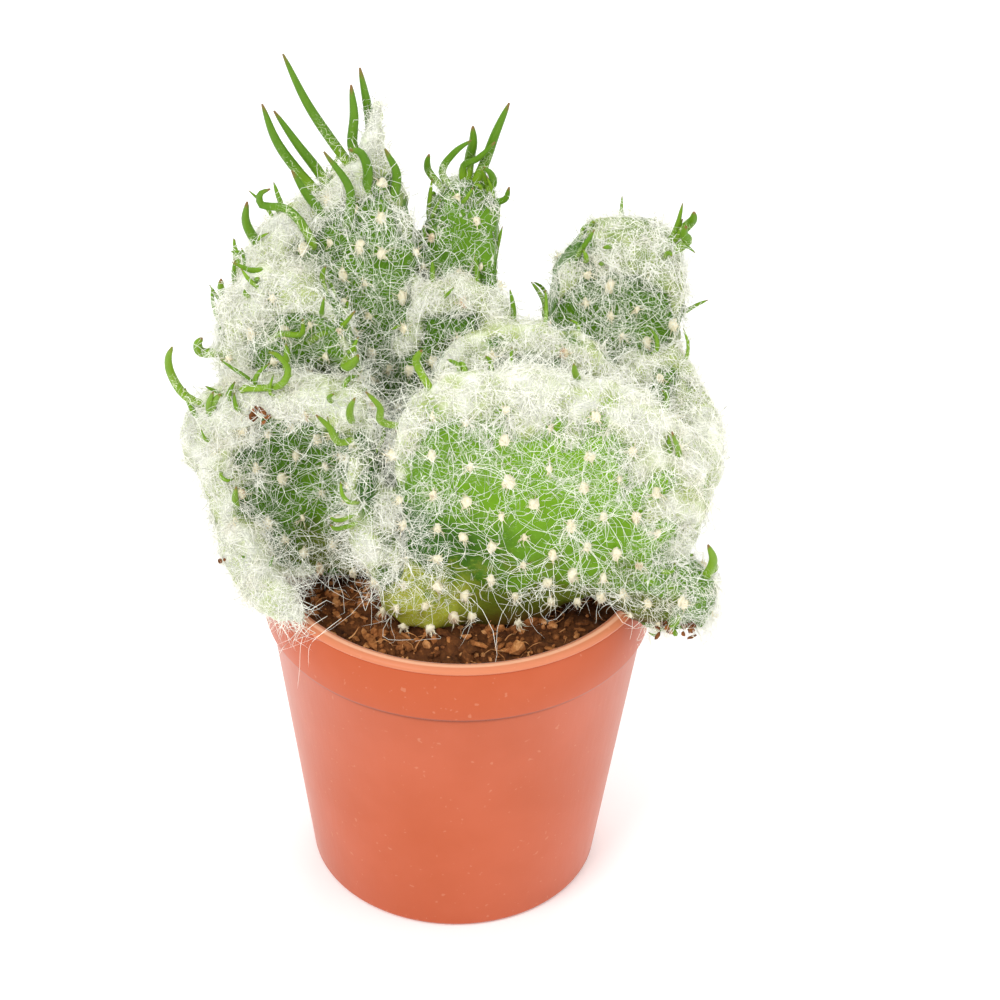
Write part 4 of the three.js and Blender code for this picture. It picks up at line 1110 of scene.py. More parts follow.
def flesh_material(look, wool):
    paint = Paint("green_flesh")
    tone = paint.attribute("tone")
    foot = paint.attribute("foot")
    fuzz = paint.attribute("fuzz")
    mottle = paint.noise(260.0, 5.0, 0.6)
    specks = paint.noise(1500.0, 2.0)
    gap = paint.attribute("gap")
    # A low tone gives deep green: partly the flesh's own colour, partly painted shade on the folds that lie
    # between others
    skin = paint.mix(tone * 0.75 + mottle * 0.5 - 0.12, tuple(look.deep), tuple(look.bright))
    skin = paint.mix(paint.step(specks, 0.58, 0.74) * 0.35, skin, colour(150, 190, 66))
    stain = paint.noise(330.0, 4.0, 0.7)
    skin = paint.mix(paint.step(foot + (stain - 0.5) * 1.3, 0.25, 1.0) * 0.9, skin, tuple(look.foot))
    brown = paint.step(foot * 0.9 + (stain - 0.5) * 2.2, 0.85, 1.35)
    skin = paint.mix(brown * 0.75, skin, colour(112, 104, 34))
    # Darker olive and brown towards the soil, away from the yellow middle of the foot
    dirt = paint.attribute("dirt")
    skin = paint.mix(paint.step(dirt + (stain - 0.5) * 1.2, 0.2, 1.0) * 0.85, skin, colour(84, 92, 24))
    height = paint.height() + (stain - 0.5) * (8 * MM)
    near = 1 - paint.step(height, (SOIL_TOP + 2) * MM, (SOIL_TOP + 7) * MM)
    skin = paint.mix(near * dirt * 0.9, skin, colour(84, 56, 22))
    # Painted shade: dark green, flecked with brown bits, where the flesh is shut in between folds; the
    # printed hair fades there too
    shadow = paint.mix(paint.step(specks + mottle, 0.9, 1.2), colour(34, 52, 8), colour(86, 60, 28))
    skin = paint.mix(paint.step(gap + (mottle - 0.5) * 0.5, 0.15, 0.7) * 0.92, skin, shadow)
    web = paint.web(2.2 * MM, 0.075 * MM, 260.0)
    patches = paint.step(fuzz * 1.1 + (paint.noise(110.0, 2.0) - 0.5) * 2.0, 0.25, 1.05)
    white = paint.step(web * patches, 0.1, 0.9) * (1 - 0.7 * gap)
    skin = paint.mix(white * 0.7, skin, tuple(wool.white))
    normal = paint.bump(mottle * 0.4 + web * 0.6, 0.25 * MM, 0.5)
    return paint.finish(Base_Color=skin, Roughness=0.42 + 0.4 * white + 0.08 * specks, Normal=normal,
                        Specular_IOR_Level=0.22)


def leaf_material(look):
    paint = Paint("leaf_green")
    along = paint.attribute("along")
    streaks = paint.noise(1.0, 3.0, 0.6, 0.3, paint.stretched((900.0, 900.0, 180.0)))
    fine = paint.noise(1400.0, 3.0)
    skin = paint.mix(streaks * 0.35, tuple(look.green), tuple(look.edge))
    skin = paint.mix((1 - paint.step(along, 0.05, 0.45)) * 0.75, skin, tuple(look.edge))
    skin = paint.mix(paint.attribute("young") * (0.3 + 0.5 * streaks), skin, tuple(look.edge))
    skin = paint.mix(paint.step(along + (streaks - 0.5) * 0.2, 0.9, 1.02), skin, tuple(look.tip))
    hairs = paint.step(paint.web(1.5 * MM, 0.09 * MM, 320.0) * (1 - paint.step(along, 0.3, 0.72)), 0.1, 0.9)
    skin = paint.mix(hairs * 0.8, skin, colour(240, 244, 206))
    normal = paint.bump(streaks * 0.6 + fine * 0.4, 0.12 * MM, 0.5)
    return paint.finish(Base_Color=skin, Roughness=0.36 + 0.15 * fine, Normal=normal, Specular_IOR_Level=0.3)


def tuft_material(look):
    paint = Paint("cream_tufts")
    tint = paint.attribute("tint")
    cloud = paint.noise(900.0, 3.0)
    fibres = paint.noise(2400.0, 3.0, 0.7)
    brown = paint.step(tint + (cloud - 0.5) * 0.5, 0.9, 1.08)
    down = paint.mix(cloud, tuple(look.cream), colour(254, 250, 232))
    down = paint.mix(brown * 0.8, down, colour(168, 112, 62))
    return paint.finish(Base_Color=down, Roughness=0.9, Normal=paint.bump(fibres, 0.4 * MM, 0.7))


def felt_material(look, flesh):
    paint = Paint("white_felt")
    cloud = paint.noise(170.0, 3.0, 0.6)
    under = paint.noise(420.0, 3.0, 0.6)
    web = paint.web(0.85 * MM, 0.12 * MM, 330.0)
    thin = paint.attribute("thin")
    # Where the felt is thin the flesh green shows, with the painted shade that its tone partly carries
    tone = paint.attribute("tone") * 0.75 + (under - 0.5) * 0.5
    green = paint.mix(tone, tuple(flesh.deep), tuple(flesh.bright))
    # Under-wool: partly green flesh showing through, partly painted shade between the hairs
    shade = paint.mix(paint.step(thin + (under - 0.5) * 0.6, 0.2, 0.9), tuple(look.underwool), green)
    # Painted shade: dark green where the felt is shut in
    shade = paint.mix(paint.step(paint.attribute("gap"), 0.2, 0.8) * 0.85, shade, colour(48, 66, 22))
    white = paint.step(web * 0.9 + (cloud - 0.5) * 2.4 + 0.55 - 1.1 * thin, 0.0, 1.0)
    wool = paint.mix(white, shade, colour(245, 246, 233))
    normal = paint.bump(web * 0.7 + under * 0.3, 0.5 * MM, 0.8)
    return paint.finish(Base_Color=wool, Roughness=0.8 + 0.15 * under, Normal=normal)


def hair_material(look):
    paint = Paint("white_hair")
    cloud = paint.noise(130.0, 3.0)
    fine = paint.noise(1300.0, 2.0)
    hair = paint.mix(paint.step(cloud, 0.5, 0.72) * 0.4, tuple(look.white), colour(244, 234, 208))
    hair = paint.mix(fine * 0.3, hair, colour(255, 255, 252))
    # Painted glow: the hair gives off a little light of its own colour
    return paint.finish(Base_Color=hair, Roughness=0.5 + 0.2 * fine, Normal=paint.bump(fine, 0.05 * MM, 0.3),
                        Emission_Color=hair, Emission_Strength=PAINTED_HAIR_GLOW)


# Pieces ----------------------------------------------------------------------------------

def body_radius(z):
    return BASE_RADIUS + (BODY_TOP_RADIUS - BASE_RADIUS) * z / COLLAR_FOOT


def pot_profile():
    rounding = []
    for turn in range(0, 91, 15):
        angle = math.radians(turn)
        rounding.append((body_radius(BASE_ROUNDING) - BASE_ROUNDING * (1 - math.sin(angle)),
                         BASE_ROUNDING * (1 - math.cos(angle))))
    inner = RIM_RADIUS - WALL - 0.3
    return [
        (0, 0), *rounding, (body_radius(30), 30), (BODY_TOP_RADIUS - 0.1, COLLAR_FOOT - 0.9),
        (BODY_TOP_RADIUS + 0.1, COLLAR_FOOT - 0.45), (BODY_TOP_RADIUS + 0.5, COLLAR_FOOT - 0.2),
        (RIM_RADIUS - 0.7, COLLAR_FOOT - 0.1), (RIM_RADIUS - 0.35, COLLAR_FOOT + 0.2),
        (RIM_RADIUS - 0.2, COLLAR_FOOT + 0.8), (RIM_RADIUS - 0.2, POT_HEIGHT - 1.75),
        (RIM_RADIUS - 0.35, POT_HEIGHT - 1.5), (RIM_RADIUS - 0.05, POT_HEIGHT - 1.2),
        (RIM_RADIUS, POT_HEIGHT - 0.8), (RIM_RADIUS - 0.25, POT_HEIGHT - 0.35),
        (RIM_RADIUS - 0.8, POT_HEIGHT - 0.08), (RIM_RADIUS - 1.6, POT_HEIGHT),
        (RIM_RADIUS - 2.4, POT_HEIGHT - 0.15),
        (RIM_RADIUS - LIP_WIDTH + 0.5, POT_HEIGHT - 0.55), (RIM_RADIUS - LIP_WIDTH + 0.1, POT_HEIGHT - 1.1),
        (RIM_RADIUS - LIP_WIDTH, POT_HEIGHT - 1.6), (RIM_RADIUS - LIP_WIDTH + 0.3, POT_HEIGHT - 2.1),
        (inner - 0.5, POT_HEIGHT - 2.5), (inner, POT_HEIGHT - 3.2), (inner, COLLAR_FOOT),
        (BODY_TOP_RADIUS - WALL, COLLAR_FOOT - 1.4), (body_radius(4.6) - WALL, 4.6),
        (body_radius(2) - WALL - 0.8, 2.4), (body_radius(0) - WALL - 3, FLOOR_THICKNESS),
        (0, FLOOR_THICKNESS),
    ]


class PRICKLYPEAR_OT_pot(bpy.types.Operator):
    """Turn the plastic pot with its collar, rounded lip and drain holes"""
    bl_idname = "pricklypear.pot"
    bl_label = "Pot"

    def execute(self, context):
        look = context.scene.pricklypear_pot
        shell = mesh_from(spun(pot_profile(), look.steps), "pot_shell")
        bm = bmesh.new()
        for number in range(DRAIN_HOLES):
            angle = 2 * math.pi * number / DRAIN_HOLES
            reach = DRAIN_CIRCLE * MM
            place = Matrix.Translation((reach * math.cos(angle), reach * math.sin(angle), 0))
            bmesh.ops.create_cone(bm, cap_ends=True, segments=24, radius1=DRAIN_RADIUS * MM,
                                  radius2=DRAIN_RADIUS * MM, depth=6 * MM, matrix=place)
        cutter = bpy.data.objects.new("drain_cutter", mesh_from(bm, "drain_cutter"))
        context.scene.collection.objects.link(cutter)
        mesh = evaluated(shell, ("BOOLEAN", {"operation": "DIFFERENCE", "object": cutter, "solver": "EXACT"}))
        bpy.data.objects.remove(cutter)
        mesh.name = "pot_body"
        smooth(mesh, 40)
        piece = new_object("pot_body", mesh, plastic_material(look))
        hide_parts("pot")
        return {"FINISHED"}


def soil_height(points):
    """How far the soil's surface lies above its mean at these points."""
    coarse = SOIL_LUMP * (lumps(points, 9) + 0.5 * lumps(points, 4))
    return (coarse + 0.45 * grain(points, 2.6, 2.0) + 0.25 * grain(points, 1.1, 3.0)) * SOIL_SHARE


def soil_level(share):
    """The mean height of the soil at a share of its radius: a shallow dish."""
    return SOIL_TOP + SOIL_CROWN - SOIL_DISH * share ** 2


def crumb(bm, place, size, random):
    """One crumb, now and then a long flat one, and its corners."""
    long = random.uniform() < 0.22
    made = bmesh.ops.create_icosphere(bm, subdivisions=1, radius=size * MM)["verts"]
    shape = np.array([2.6, 0.9, 0.5]) if long else random.uniform(0.6, 1.3, 3)
    turn = Matrix.Rotation(random.uniform(0, 6.28), 4, Vector(random.normal(size=3)).normalized())
    tilt = Matrix.Rotation(random.uniform(0, 6.28), 4, "Z") if long else turn
    for corner in made:
        corner.co = Vector(corner.co[axis] * shape[axis] * random.uniform(0.75, 1.25) for axis in range(3))
    bmesh.ops.transform(bm, matrix=Matrix.Translation(Vector(place) * MM) @ tilt, verts=made)
    return made


class PRICKLYPEAR_OT_soil(bpy.types.Operator):
    """Fill the pot with peat and strew crumbs, bark and coir over it"""
    bl_idname = "pricklypear.soil"
    bl_label = "Soil"

    def execute(self, context):
        look = context.scene.pricklypear_soil
        material = soil_material(look)
        GROWTH["soil_finish"] = material
        clear = WALL + SOIL_GAP
        outer = RIM_RADIUS - clear - 0.35
        profile = [(0, FLOOR_THICKNESS + SOIL_GAP), (body_radius(0) - clear - 4, FLOOR_THICKNESS + SOIL_GAP),
                   (body_radius(5) - clear - 0.4, FLOOR_THICKNESS + 4),
                   (BODY_TOP_RADIUS - clear - 0.4, COLLAR_FOOT - 1.8), (outer, COLLAR_FOOT + 1)]
        profile += [(outer * share, soil_level(share)) for share in np.linspace(1, 0, SOIL_RINGS + 1)]
        mesh = mesh_from(spun(profile, SOIL_STEPS), "soil_bed")
        places = positions_of(mesh)
        top = places[:, 2] > SOIL_TOP - 1.2
        places[top, 2] += soil_height(places[top])
        set_positions(mesh, places)
        set_values(mesh, "tint", np.full(len(places), 0.05))
        smooth(mesh)
        bed = new_object("soil_bed", mesh, material)
        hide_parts("soil")
        random = np.random.default_rng(SEEDS["soil"])
        places = self.crumbs(look, material, outer, random)
        self.fibres(places, material, outer, random)
        return {"FINISHED"}

    @staticmethod
    def crumbs(look, material, outer, random):
        """Strew the crumbs over the soil and give back where they lie."""
        bm = bmesh.new()
        tints, places = [], []
        while len(places) < look.crumbs:
            spot = random.uniform(-outer, outer, 2)
            radius = math.hypot(*spot)
            under_stem = ((spot[0] - STEM[0]) / STEM[2]) ** 2 + ((spot[1] - STEM[1]) / STEM[3]) ** 2
            if radius < outer - 0.8 and under_stem > 0.9:
                places.append((spot[0], spot[1], soil_level(radius / outer)))
        places = np.array(places)
        for place, height in zip(places, soil_height(places)):
            size = look.crumb_size / MM * math.exp(random.normal(0, 0.45))
            made = crumb(bm, place + np.array([0, 0, height + size * 0.3]), size, random)
            tints += [random.uniform(0, 1) ** 1.1] * len(made)
        mesh = mesh_from(bm, "soil_crumbs")
        set_values(mesh, "tint", tints)
        new_object("soil_crumbs", mesh, material)
        return places

    @staticmethod
    def fibres(places, material, outer, random):
        """Lay pale coir fibres on the soil."""
        roots = places[random.integers(0, len(places), FIBRES)]
        roots[:, 2] += 1.0
        directions = unit(random.normal(size=(FIBRES, 3)) * np.array([1, 1, 0.25]))
        paths = curls(roots, directions, random.uniform(3, 9, FIBRES), 6, random, 0.08, 0.0)
        paths[..., 2] = np.clip(paths[..., 2], SOIL_TOP - 0.5, SOIL_TOP + 2.5)
        near = np.linalg.norm(paths[..., :2], axis=-1).max(axis=1) < outer - 0.5
        mesh = strand_mesh("soil_fibres", paths[near], random.uniform(0.08, 0.2, near.sum()))
        set_values(mesh, "tint", np.full(len(mesh.vertices), 0.95))
        new_object("soil_fibres", mesh, material)


def evened(mesh, values, rounds):
    """Evens out values over the mesh by averaging neighbours."""
    edges = np.empty(len(mesh.edges) * 2, dtype=np.int32)
    mesh.edges.foreach_get("vertices", edges)
    edges = edges.reshape(-1, 2)
    count = np.bincount(edges.ravel(), minlength=len(values)) + 1.0
    for _ in range(rounds):
        total = values.copy()
        np.add.at(total, edges[:, 0], values[edges[:, 1]])
        np.add.at(total, edges[:, 1], values[edges[:, 0]])
        values = total / count
    return values


def bareness(places):
    """How bare the flesh is at each place, from 0 under thick hair to 1 in a bare spot."""
    bare = np.zeros(len(places))
    for middle, half in BARE_SPOTS:
        away = (((places - np.array(middle)) / np.array(half)) ** 2).sum(axis=1)
        bare = np.maximum(bare, np.exp(-away ** 1.5 * 0.7))
    return bare


def height_over(tree, place):
    """How far a place is outside the nearest skin, in millimetres; negative inside."""
    found, normal, _, _ = tree.find_nearest(Vector(place))
    return (Vector(place) - found).dot(normal)


def hidden(surface, trees, random, rays=7, reach=9.0):
    """How much each corner of a surface is shut in by what is in front of it, from 0 to 1."""
    ways = unit(random.normal(size=(rays, 3)))
    blocked = np.zeros(len(surface.places))
    for number, (place, normal) in enumerate(zip(surface.places, surface.normals)):
        start = Vector(place + normal * 0.8)
        for way in ways:
            aim = Vector(unit(normal * 1.1 + way))
            hits = [tree.ray_cast(start, aim, reach) for tree in trees]
            near = [distance for spot, _, _, distance in hits if spot is not None]
            if near:
                blocked[number] += 1 - min(near) / reach
    return blocked / rays * 1.6


class PRICKLYPEAR_OT_flesh(bpy.types.Operator):
    """Grow the folds of green flesh out of one stem, with a swelling under every tuft"""
    bl_idname = "pricklypear.flesh"
    bl_label = "Flesh"

    def execute(self, context):
        look = context.scene.pricklypear_flesh
        folds = [Fold(facts) for facts in FOLDS.values()]
        mesh = flesh_mesh(folds)
        skin = Skin(folds, mesh)
        random = np.random.default_rng(SEEDS["flesh"])
        areoles = areole_places(skin, random)
        raise_tubercles(skin, areoles, look.tubercle / MM)
        areoles = [(point, normal) for point, normal in
                   (skin.on_surface(place, 3.0) for place, _ in areoles)]
        self.shade(skin)
        # How shut in each corner is: the flesh material paints shade there, and fewer hairs grow there
        gap = evened(mesh, hidden(skin, (skin.tree,), random), 2)
        set_values(mesh, "gap", gap)
        smooth(mesh)
        piece = new_object("flesh", mesh, flesh_material(look, context.scene.pricklypear_wool))
        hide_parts("plant")
        GROWTH.update(folds=folds, skin=skin, areoles=areoles, skin_gap=np.clip(gap, 0, 1))
        return {"FINISHED"}

    @staticmethod
    def shade(skin):
        """The brightness of the green, partly painted shade, the yellow foot, its darkening towards the soil
        and the printed fuzz.
        """
        mesh, places = skin.mesh, skin.places
        across = places[:, 0]
        # The tone is partly painted shade: deep green on the folds between others, and darker towards the
        # left of the front face
        tones = np.array([skin.folds[number].tone for number in skin.fold])
        front = np.interp(across, [-12, 8, 28], [-0.5, -0.05, 0.12])
        set_values(mesh, "tone", evened(mesh, tones + np.where(places[:, 1] < -12, front, 0), 14))
        yellow = 0.45 + 0.55 * np.exp(-((across + 8) / 12) ** 2)
        rise = places[:, 2] + 5 * grain(places, 9.0, 6.0) - 2.5
        low = np.clip((94 - rise) / 10, 0, 1)
        set_values(mesh, "foot", low * yellow)
        set_values(mesh, "dirt", low * (1 - yellow) / 0.55)
        fuzz = np.clip(1.9 - 0.85 * skin.ratio, 0.1, 1.0) * (1 - 0.8 * bareness(places))
        set_values(mesh, "fuzz", fuzz)


class PRICKLYPEAR_OT_leaves(bpy.types.Operator):
    """Set the long leaves in their places and strew small ones along the crests"""
    bl_idname = "pricklypear.leaves"
    bl_label = "Leaves"

    def execute(self, context):
        look = context.scene.pricklypear_leaves
        random = np.random.default_rng(SEEDS["leaves"])
        skin = grown("skin")
        bm = bmesh.new()
        along, young = [], []
        for points, radius in LONG_LEAVES:
            found, normal, _, _ = skin.tree.find_nearest(Vector(points[0]))
            sunk = tuple(found - normal * LONG_LEAF_SUNK)
            leaf(bm, path_points([sunk, *points], LONG_LEAF_RINGS), radius, LONG_LEAF_SIDES)
            along += self.shares(LONG_LEAF_RINGS, LONG_LEAF_SIDES)
            age = float(np.interp(points[0][2], YOUNG_HEIGHTS, [0.9, 0.1]))
            young += [age] * (len(along) - len(young))
        for fold in grown("folds"):
            for _ in range(fold.leaves):
                path = self.small_path(fold, random)
                if path[-1][2] < path[0][2]:
                    continue
                leaf(bm, inside_box(path, -0.6, 1.6), random.uniform(0.5, 0.78), SMALL_LEAF_SIDES)
                along += self.shares(SMALL_LEAF_RINGS, SMALL_LEAF_SIDES)
                young += [random.uniform(0.3, 1.0)] * (len(along) - len(young))
        mesh = mesh_from(bm, "leaves")
        set_values(mesh, "along", along)
        set_values(mesh, "young", young)
        smooth(mesh)
        new_object("leaves", mesh, leaf_material(look))
        return {"FINISHED"}

    @staticmethod
    def small_path(fold, random):
        """A short leaf that rises out of the felt and curls over."""
        section = fold.section(random.uniform(0.04, 0.96))
        angle = random.uniform(-1.35, 1.35)
        out = section["upward"] * math.cos(angle) + section["across"] * math.sin(angle)
        half = fold.half(section, 1)
        length = random.uniform(2.5, 6.5)
        foot = section["top"] - section["upward"] * half + out * (half - 1.5)
        face = foot + out * (fold.felt + 1.5)
        lean = unit(random.normal(size=3) + np.array([0, 0, 0.5]))
        middle = face + (out * 0.6 + lean * 0.55) * length * 0.6
        tip = middle + (out * 0.1 + lean * 0.9 + np.array([0, 0, 0.3])) * length * 0.5
        return path_points([foot, face, middle, tip], SMALL_LEAF_RINGS)

    @staticmethod
    def shares(rings, sides):
        """The share of its length for each corner of a leaf, in the order that loft makes them."""
        first = [0.0] * sides + [0.0]
        rest = [at / (rings - 1) for at in range(1, rings) for _ in range(sides)]
        return first + rest + [1.0]


class PRICKLYPEAR_OT_tufts(bpy.types.Operator):
    """Seat a cream tuft with short bristles on every swelling of the flesh"""
    bl_idname = "pricklypear.tufts"
    bl_label = "Spine tufts"

    def execute(self, context):
        look = context.scene.pricklypear_wool
        random = np.random.default_rng(SEEDS["tufts"])
        bm = bmesh.new()
        tints, feet, ways = [], [], []
        for point, normal in grown("areoles"):
            size = AREOLE_RADIUS * random.uniform(0.5, 1.0)
            stretch = (random.uniform(0.7, 1.0), random.uniform(0.95, 1.45), 0.85)
            made = bmesh.ops.create_icosphere(bm, subdivisions=2, radius=size * MM)["verts"]
            for corner in made:
                corner.co *= random.uniform(0.6, 1.25)
                corner.co = Vector(corner.co[axis] * stretch[axis] for axis in range(3))
            turn = Vector(normal).to_track_quat("Z", "Y").to_matrix().to_4x4()
            move = Matrix.Translation(Vector(point + normal * 0.35) * MM)
            bmesh.ops.transform(bm, matrix=move @ turn, verts=made)
            tints += [random.uniform()] * len(made)
            for _ in range(BRISTLES):
                way = unit(normal + random.normal(size=3) * 0.75)
                feet.append(point + way * size * 0.6)
                ways.append(way)
        cores = mesh_from(bm, "tuft_cores")
        set_values(cores, "tint", tints)
        smooth(cores)
        material = tuft_material(look)
        new_object("tuft_cores", cores, material)
        count = len(feet)
        lengths = random.uniform(1.2, 3.4, count)
        paths = curls(np.array(feet), np.array(ways), lengths, 3, random, 0.06, 0.0)
        bristles = strand_mesh("tuft_bristles", paths, random.uniform(0.08, 0.16, count))
        corners = len(bristles.vertices) // count
        set_values(bristles, "tint", np.repeat(random.uniform(size=count), corners))
        new_object("tuft_bristles", bristles, material)
        return {"FINISHED"}


def felt_mesh(folds):
    """A ragged saddle of felt over every crest, and the locks, roughened into lumps."""
    bm = bmesh.new()
    for fold in folds:
        rings = [fold.felt_ring(at / fold.rings) for at in range(fold.rings + 1)]
        loft(bm, [fold.felt_end(0), *rings, fold.felt_end(1)])
    for points, radii in WOOL_LOCKS:
        shares = np.linspace(0, 1, LOCK_POINTS)
        widths = np.interp(shares, np.linspace(0, 1, len(radii)), radii)
        loft(bm, tube_rings(path_points(points, LOCK_POINTS), widths, 12))
    mesh = fused(bm, "felt", FELT_VOXEL, 0.5, 3)
    places = positions_of(mesh)
    rough = 0.75 * grain(places, 7.0, 4.0) + 0.6 * grain(places, 3.0, 5.0) - 0.5
    set_positions(mesh, inside_box(places + normals_of(mesh) * rough[:, None], 0.0, 1.8))
    return mesh


class PRICKLYPEAR_OT_felt(bpy.types.Operator):
    """Lay a thick lumpy felt of packed white hair over every crest"""
    bl_idname = "pricklypear.felt"
    bl_label = "Felt"

    def execute(self, context):
        random = np.random.default_rng(SEEDS["felt"])
        folds, skin = grown("folds"), grown("skin")
        mesh = felt_mesh(folds)
        places = positions_of(mesh)
        nearest, ratio, flow = nearest_crest(folds, places)
        tones = np.array([folds[number].tone for number in nearest])
        set_values(mesh, "tone", evened(mesh, tones, 8))
        set_values(mesh, "thin", evened(mesh, self.thinness(places, ratio, skin), 1))
        surface = Surface(mesh)
        # How shut in each corner is: the felt material paints shade there, and fewer crest hairs grow there
        gap = evened(mesh, hidden(surface, (skin.tree, surface.tree), random), 2)
        set_values(mesh, "gap", gap)
        smooth(mesh)
        material = felt_material(context.scene.pricklypear_wool, context.scene.pricklypear_flesh)
        piece = new_object("felt", mesh, material)
        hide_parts("wool_front", "wool_crown")
        GROWTH.update(felt=surface, flow=flow, felt_gap=np.clip(gap, 0, 1))
        return {"FINISHED"}

    @staticmethod
    def thinness(places, ratio, skin):
        """How thin the felt is at each place: thin far from a crest, and where it barely
        stands over the flesh, and thick in the locks."""
        thin = np.clip((ratio - 0.45) / 0.6, 0, 1)
        for points, radii in WOOL_LOCKS:
            middles = path_points(points, LOCK_POINTS)
            near = np.linalg.norm(places[:, None] - middles, axis=2).min(axis=1)
            thin = np.minimum(thin, np.clip(near / max(radii) - 0.9, 0, 1))
        heights = np.array([height_over(skin.tree, place) for place in places])
        return np.maximum(thin, 1 - np.clip((heights - 0.1) / 1.2, 0, 1))


class PRICKLYPEAR_OT_hair(bpy.types.Operator):
    """Strew curly white hair over the felt and spin a loose web of it from tuft to tuft"""
    bl_idname = "pricklypear.hair"
    bl_label = "Hair"

    def execute(self, context):
        look = context.scene.pricklypear_wool
        skin, felt = grown("skin"), grown("felt")
        trees = (skin.tree, felt.tree)
        random = np.random.default_rng(SEEDS["hair"])
        radius = look.thickness / MM / 2
        material = hair_material(look)

        def make(name, paths, share, most):
            """Split the hairs into pieces that are small enough, thinner by a share."""
            paths = inside_box(paths)
            for part, start in enumerate(range(0, len(paths), most), 1):
                some = paths[start:start + most]
                radii = radius * share * random.uniform(0.6, 1.2, len(some))
                mesh = strand_mesh("%s_%d" % (name, part), some, radii)
                new_object(mesh.name, mesh, material)

        crest = self.crest_hairs(skin, felt, look.crest_hairs, random)
        make("crest_hair", lifted(trees, crest, 0.05, random), 1.0, MOST_SHORT_HAIRS)
        face = self.face_hairs(skin, look.face_hairs, random)
        make("face_hair", lifted(trees, face, 0.1, random), 0.85, MOST_SHORT_HAIRS)
        web = self.web_hairs(look.web_hairs, random)
        make("web_hair", lifted(trees, web, 0.15, random), 0.8, MOST_LONG_HAIRS)
        make("stray_hair", self.stray_hairs(skin, random), 0.9, MOST_LONG_HAIRS)
        self.cling(skin, felt, random)
        return {"FINISHED"}

    @staticmethod
    def crest_hairs(skin, felt, count, random):
        """Short curly hairs in leaning bunches on the felt, fewer where it is shut in."""
        outside = np.array([height_over(skin.tree, place) > 0.1 for place in felt.places], float)
        outside *= 1 - 0.75 * grown("felt_gap")
        bunches, normals, corners = felt.scatter(random, count // BUNCH, outside + 1e-6)
        flow = grown("flow")[corners] + np.array([0, 0, -0.35])
        flow = unit(flow - normals * (flow * normals).sum(1, keepdims=True))
        lean = unit(normals * random.uniform(0.25, 1.0, (len(normals), 1)) + flow * 0.8
                    + random.normal(size=normals.shape) * 0.55)
        member = np.repeat(np.arange(len(bunches)), BUNCH)
        roots = bunches[member] + random.normal(size=(len(member), 3)) * 0.55 - normals[member] * 0.3
        lean = unit(lean[member] + random.normal(size=(len(member), 3)) * 0.5)
        return curls(roots, lean, random.gamma(5.0, 1.0, len(member)), 4, random, 0.2, 0.12)

    @staticmethod
    def face_hairs(skin, count, random):
        """Short hairs on the flesh, most where the felt ends, few in gaps and bare spots."""
        density = (np.exp(-((skin.ratio - 1.1) / 0.5) ** 2) + 0.12) * (skin.places[:, 2] > SOIL_TOP + 8)
        density = density * (1 - 0.7 * bareness(skin.places)) * (1 - 0.75 * grown("skin_gap"))
        roots, normals, _ = skin.scatter(random, count, density)
        lean = unit(normals * 0.3 + random.normal(size=normals.shape) * 0.7)
        return curls(roots, lean, random.gamma(6.0, 0.7, len(roots)), 4, random, 0.3, 0.0)

    @staticmethod
    def web_hairs(count, random):
        """Long thin hairs that start at the tufts and wander over their neighbours."""
        tufts = [tuft for tuft in grown("areoles") if tuft[0][2] > SOIL_TOP + 7 or random.uniform() < 0.35]
        places, normals = (np.array([tuft[part] for tuft in tufts]) for part in (0, 1))
        share = random.gamma(1.6, 1.0, len(tufts)) * (1 - 0.35 * bareness(places))
        share *= np.interp(places[:, 2], [SOIL_TOP + 4, SOIL_TOP + 12], [0.35, 1.0])
        chosen = random.choice(len(tufts), count, p=share / share.sum())
        roots, normals = places[chosen], normals[chosen]
        lean = unit(normals * 0.6 + random.normal(size=normals.shape) * 0.7)
        lengths = random.gamma(5.0, 1.7, len(roots))
        lengths *= np.interp(roots[:, 2], [SOIL_TOP + 6, SOIL_TOP + 14], [0.5, 1.0])
        return curls(roots + normals * 0.5, lean, lengths, 8, random, 0.34, 0.02, 0.95)

    @staticmethod
    def stray_hairs(skin, random):
        """The single hairs over the rim, and those that the clinging crumbs hang in."""
        stray = list(STRAY_HAIRS)
        for target in CLINGING_CRUMBS:
            foot = skin.tree.find_nearest(Vector(target))[0]
            for _ in range(6):
                tip = np.array(foot.lerp(Vector(target), 0.7)) + random.normal(size=3) * 0.7
                bend = (np.array(foot) + tip) / 2 + random.normal(size=3) * 0.7
                stray.append([foot, bend, tip])
        return np.array([path_points(points, STRAY_POINTS) for points in stray])

    @staticmethod
    def cling(skin, felt, random):
        """A few crumbs caught in the hair under the offset, and brown bits on the wool."""
        bm = bmesh.new()
        tints = []
        for target in CLINGING_CRUMBS:
            found = skin.tree.find_nearest(Vector(target))[0]
            for share in (0.05, 0.25, 0.4, 0.55):
                place = np.array(found.lerp(Vector(target), share)) + random.normal(size=3) * 0.35
                made = crumb(bm, place, random.uniform(0.45, 0.85), random)
                tints += [random.uniform(0, 0.6)] * len(made)
        for target in BROWN_BITS:
            place = np.array(felt.tree.find_nearest(Vector(target))[0])
            for _ in range(3):
                made = crumb(bm, place + random.normal(size=3) * 0.7, random.uniform(0.5, 0.9), random)
                tints += [random.uniform(0.2, 0.6)] * len(made)
        mesh = mesh_from(bm, "clinging_crumbs")
        set_values(mesh, "tint", tints)
        new_object("clinging_crumbs", mesh, grown("soil_finish"))


def floor_material():
    paint = Paint("studio_floor")
    cloud = paint.noise(3.0, 2.0)
    pale = paint.mix(cloud * 0.3, colour(252, 252, 252), colour(248, 248, 249))
    return paint.finish(Base_Color=pale, Roughness=0.8 + 0.1 * cloud, Emission_Color=colour(255, 255, 255),
                        Emission_Strength=0.1)


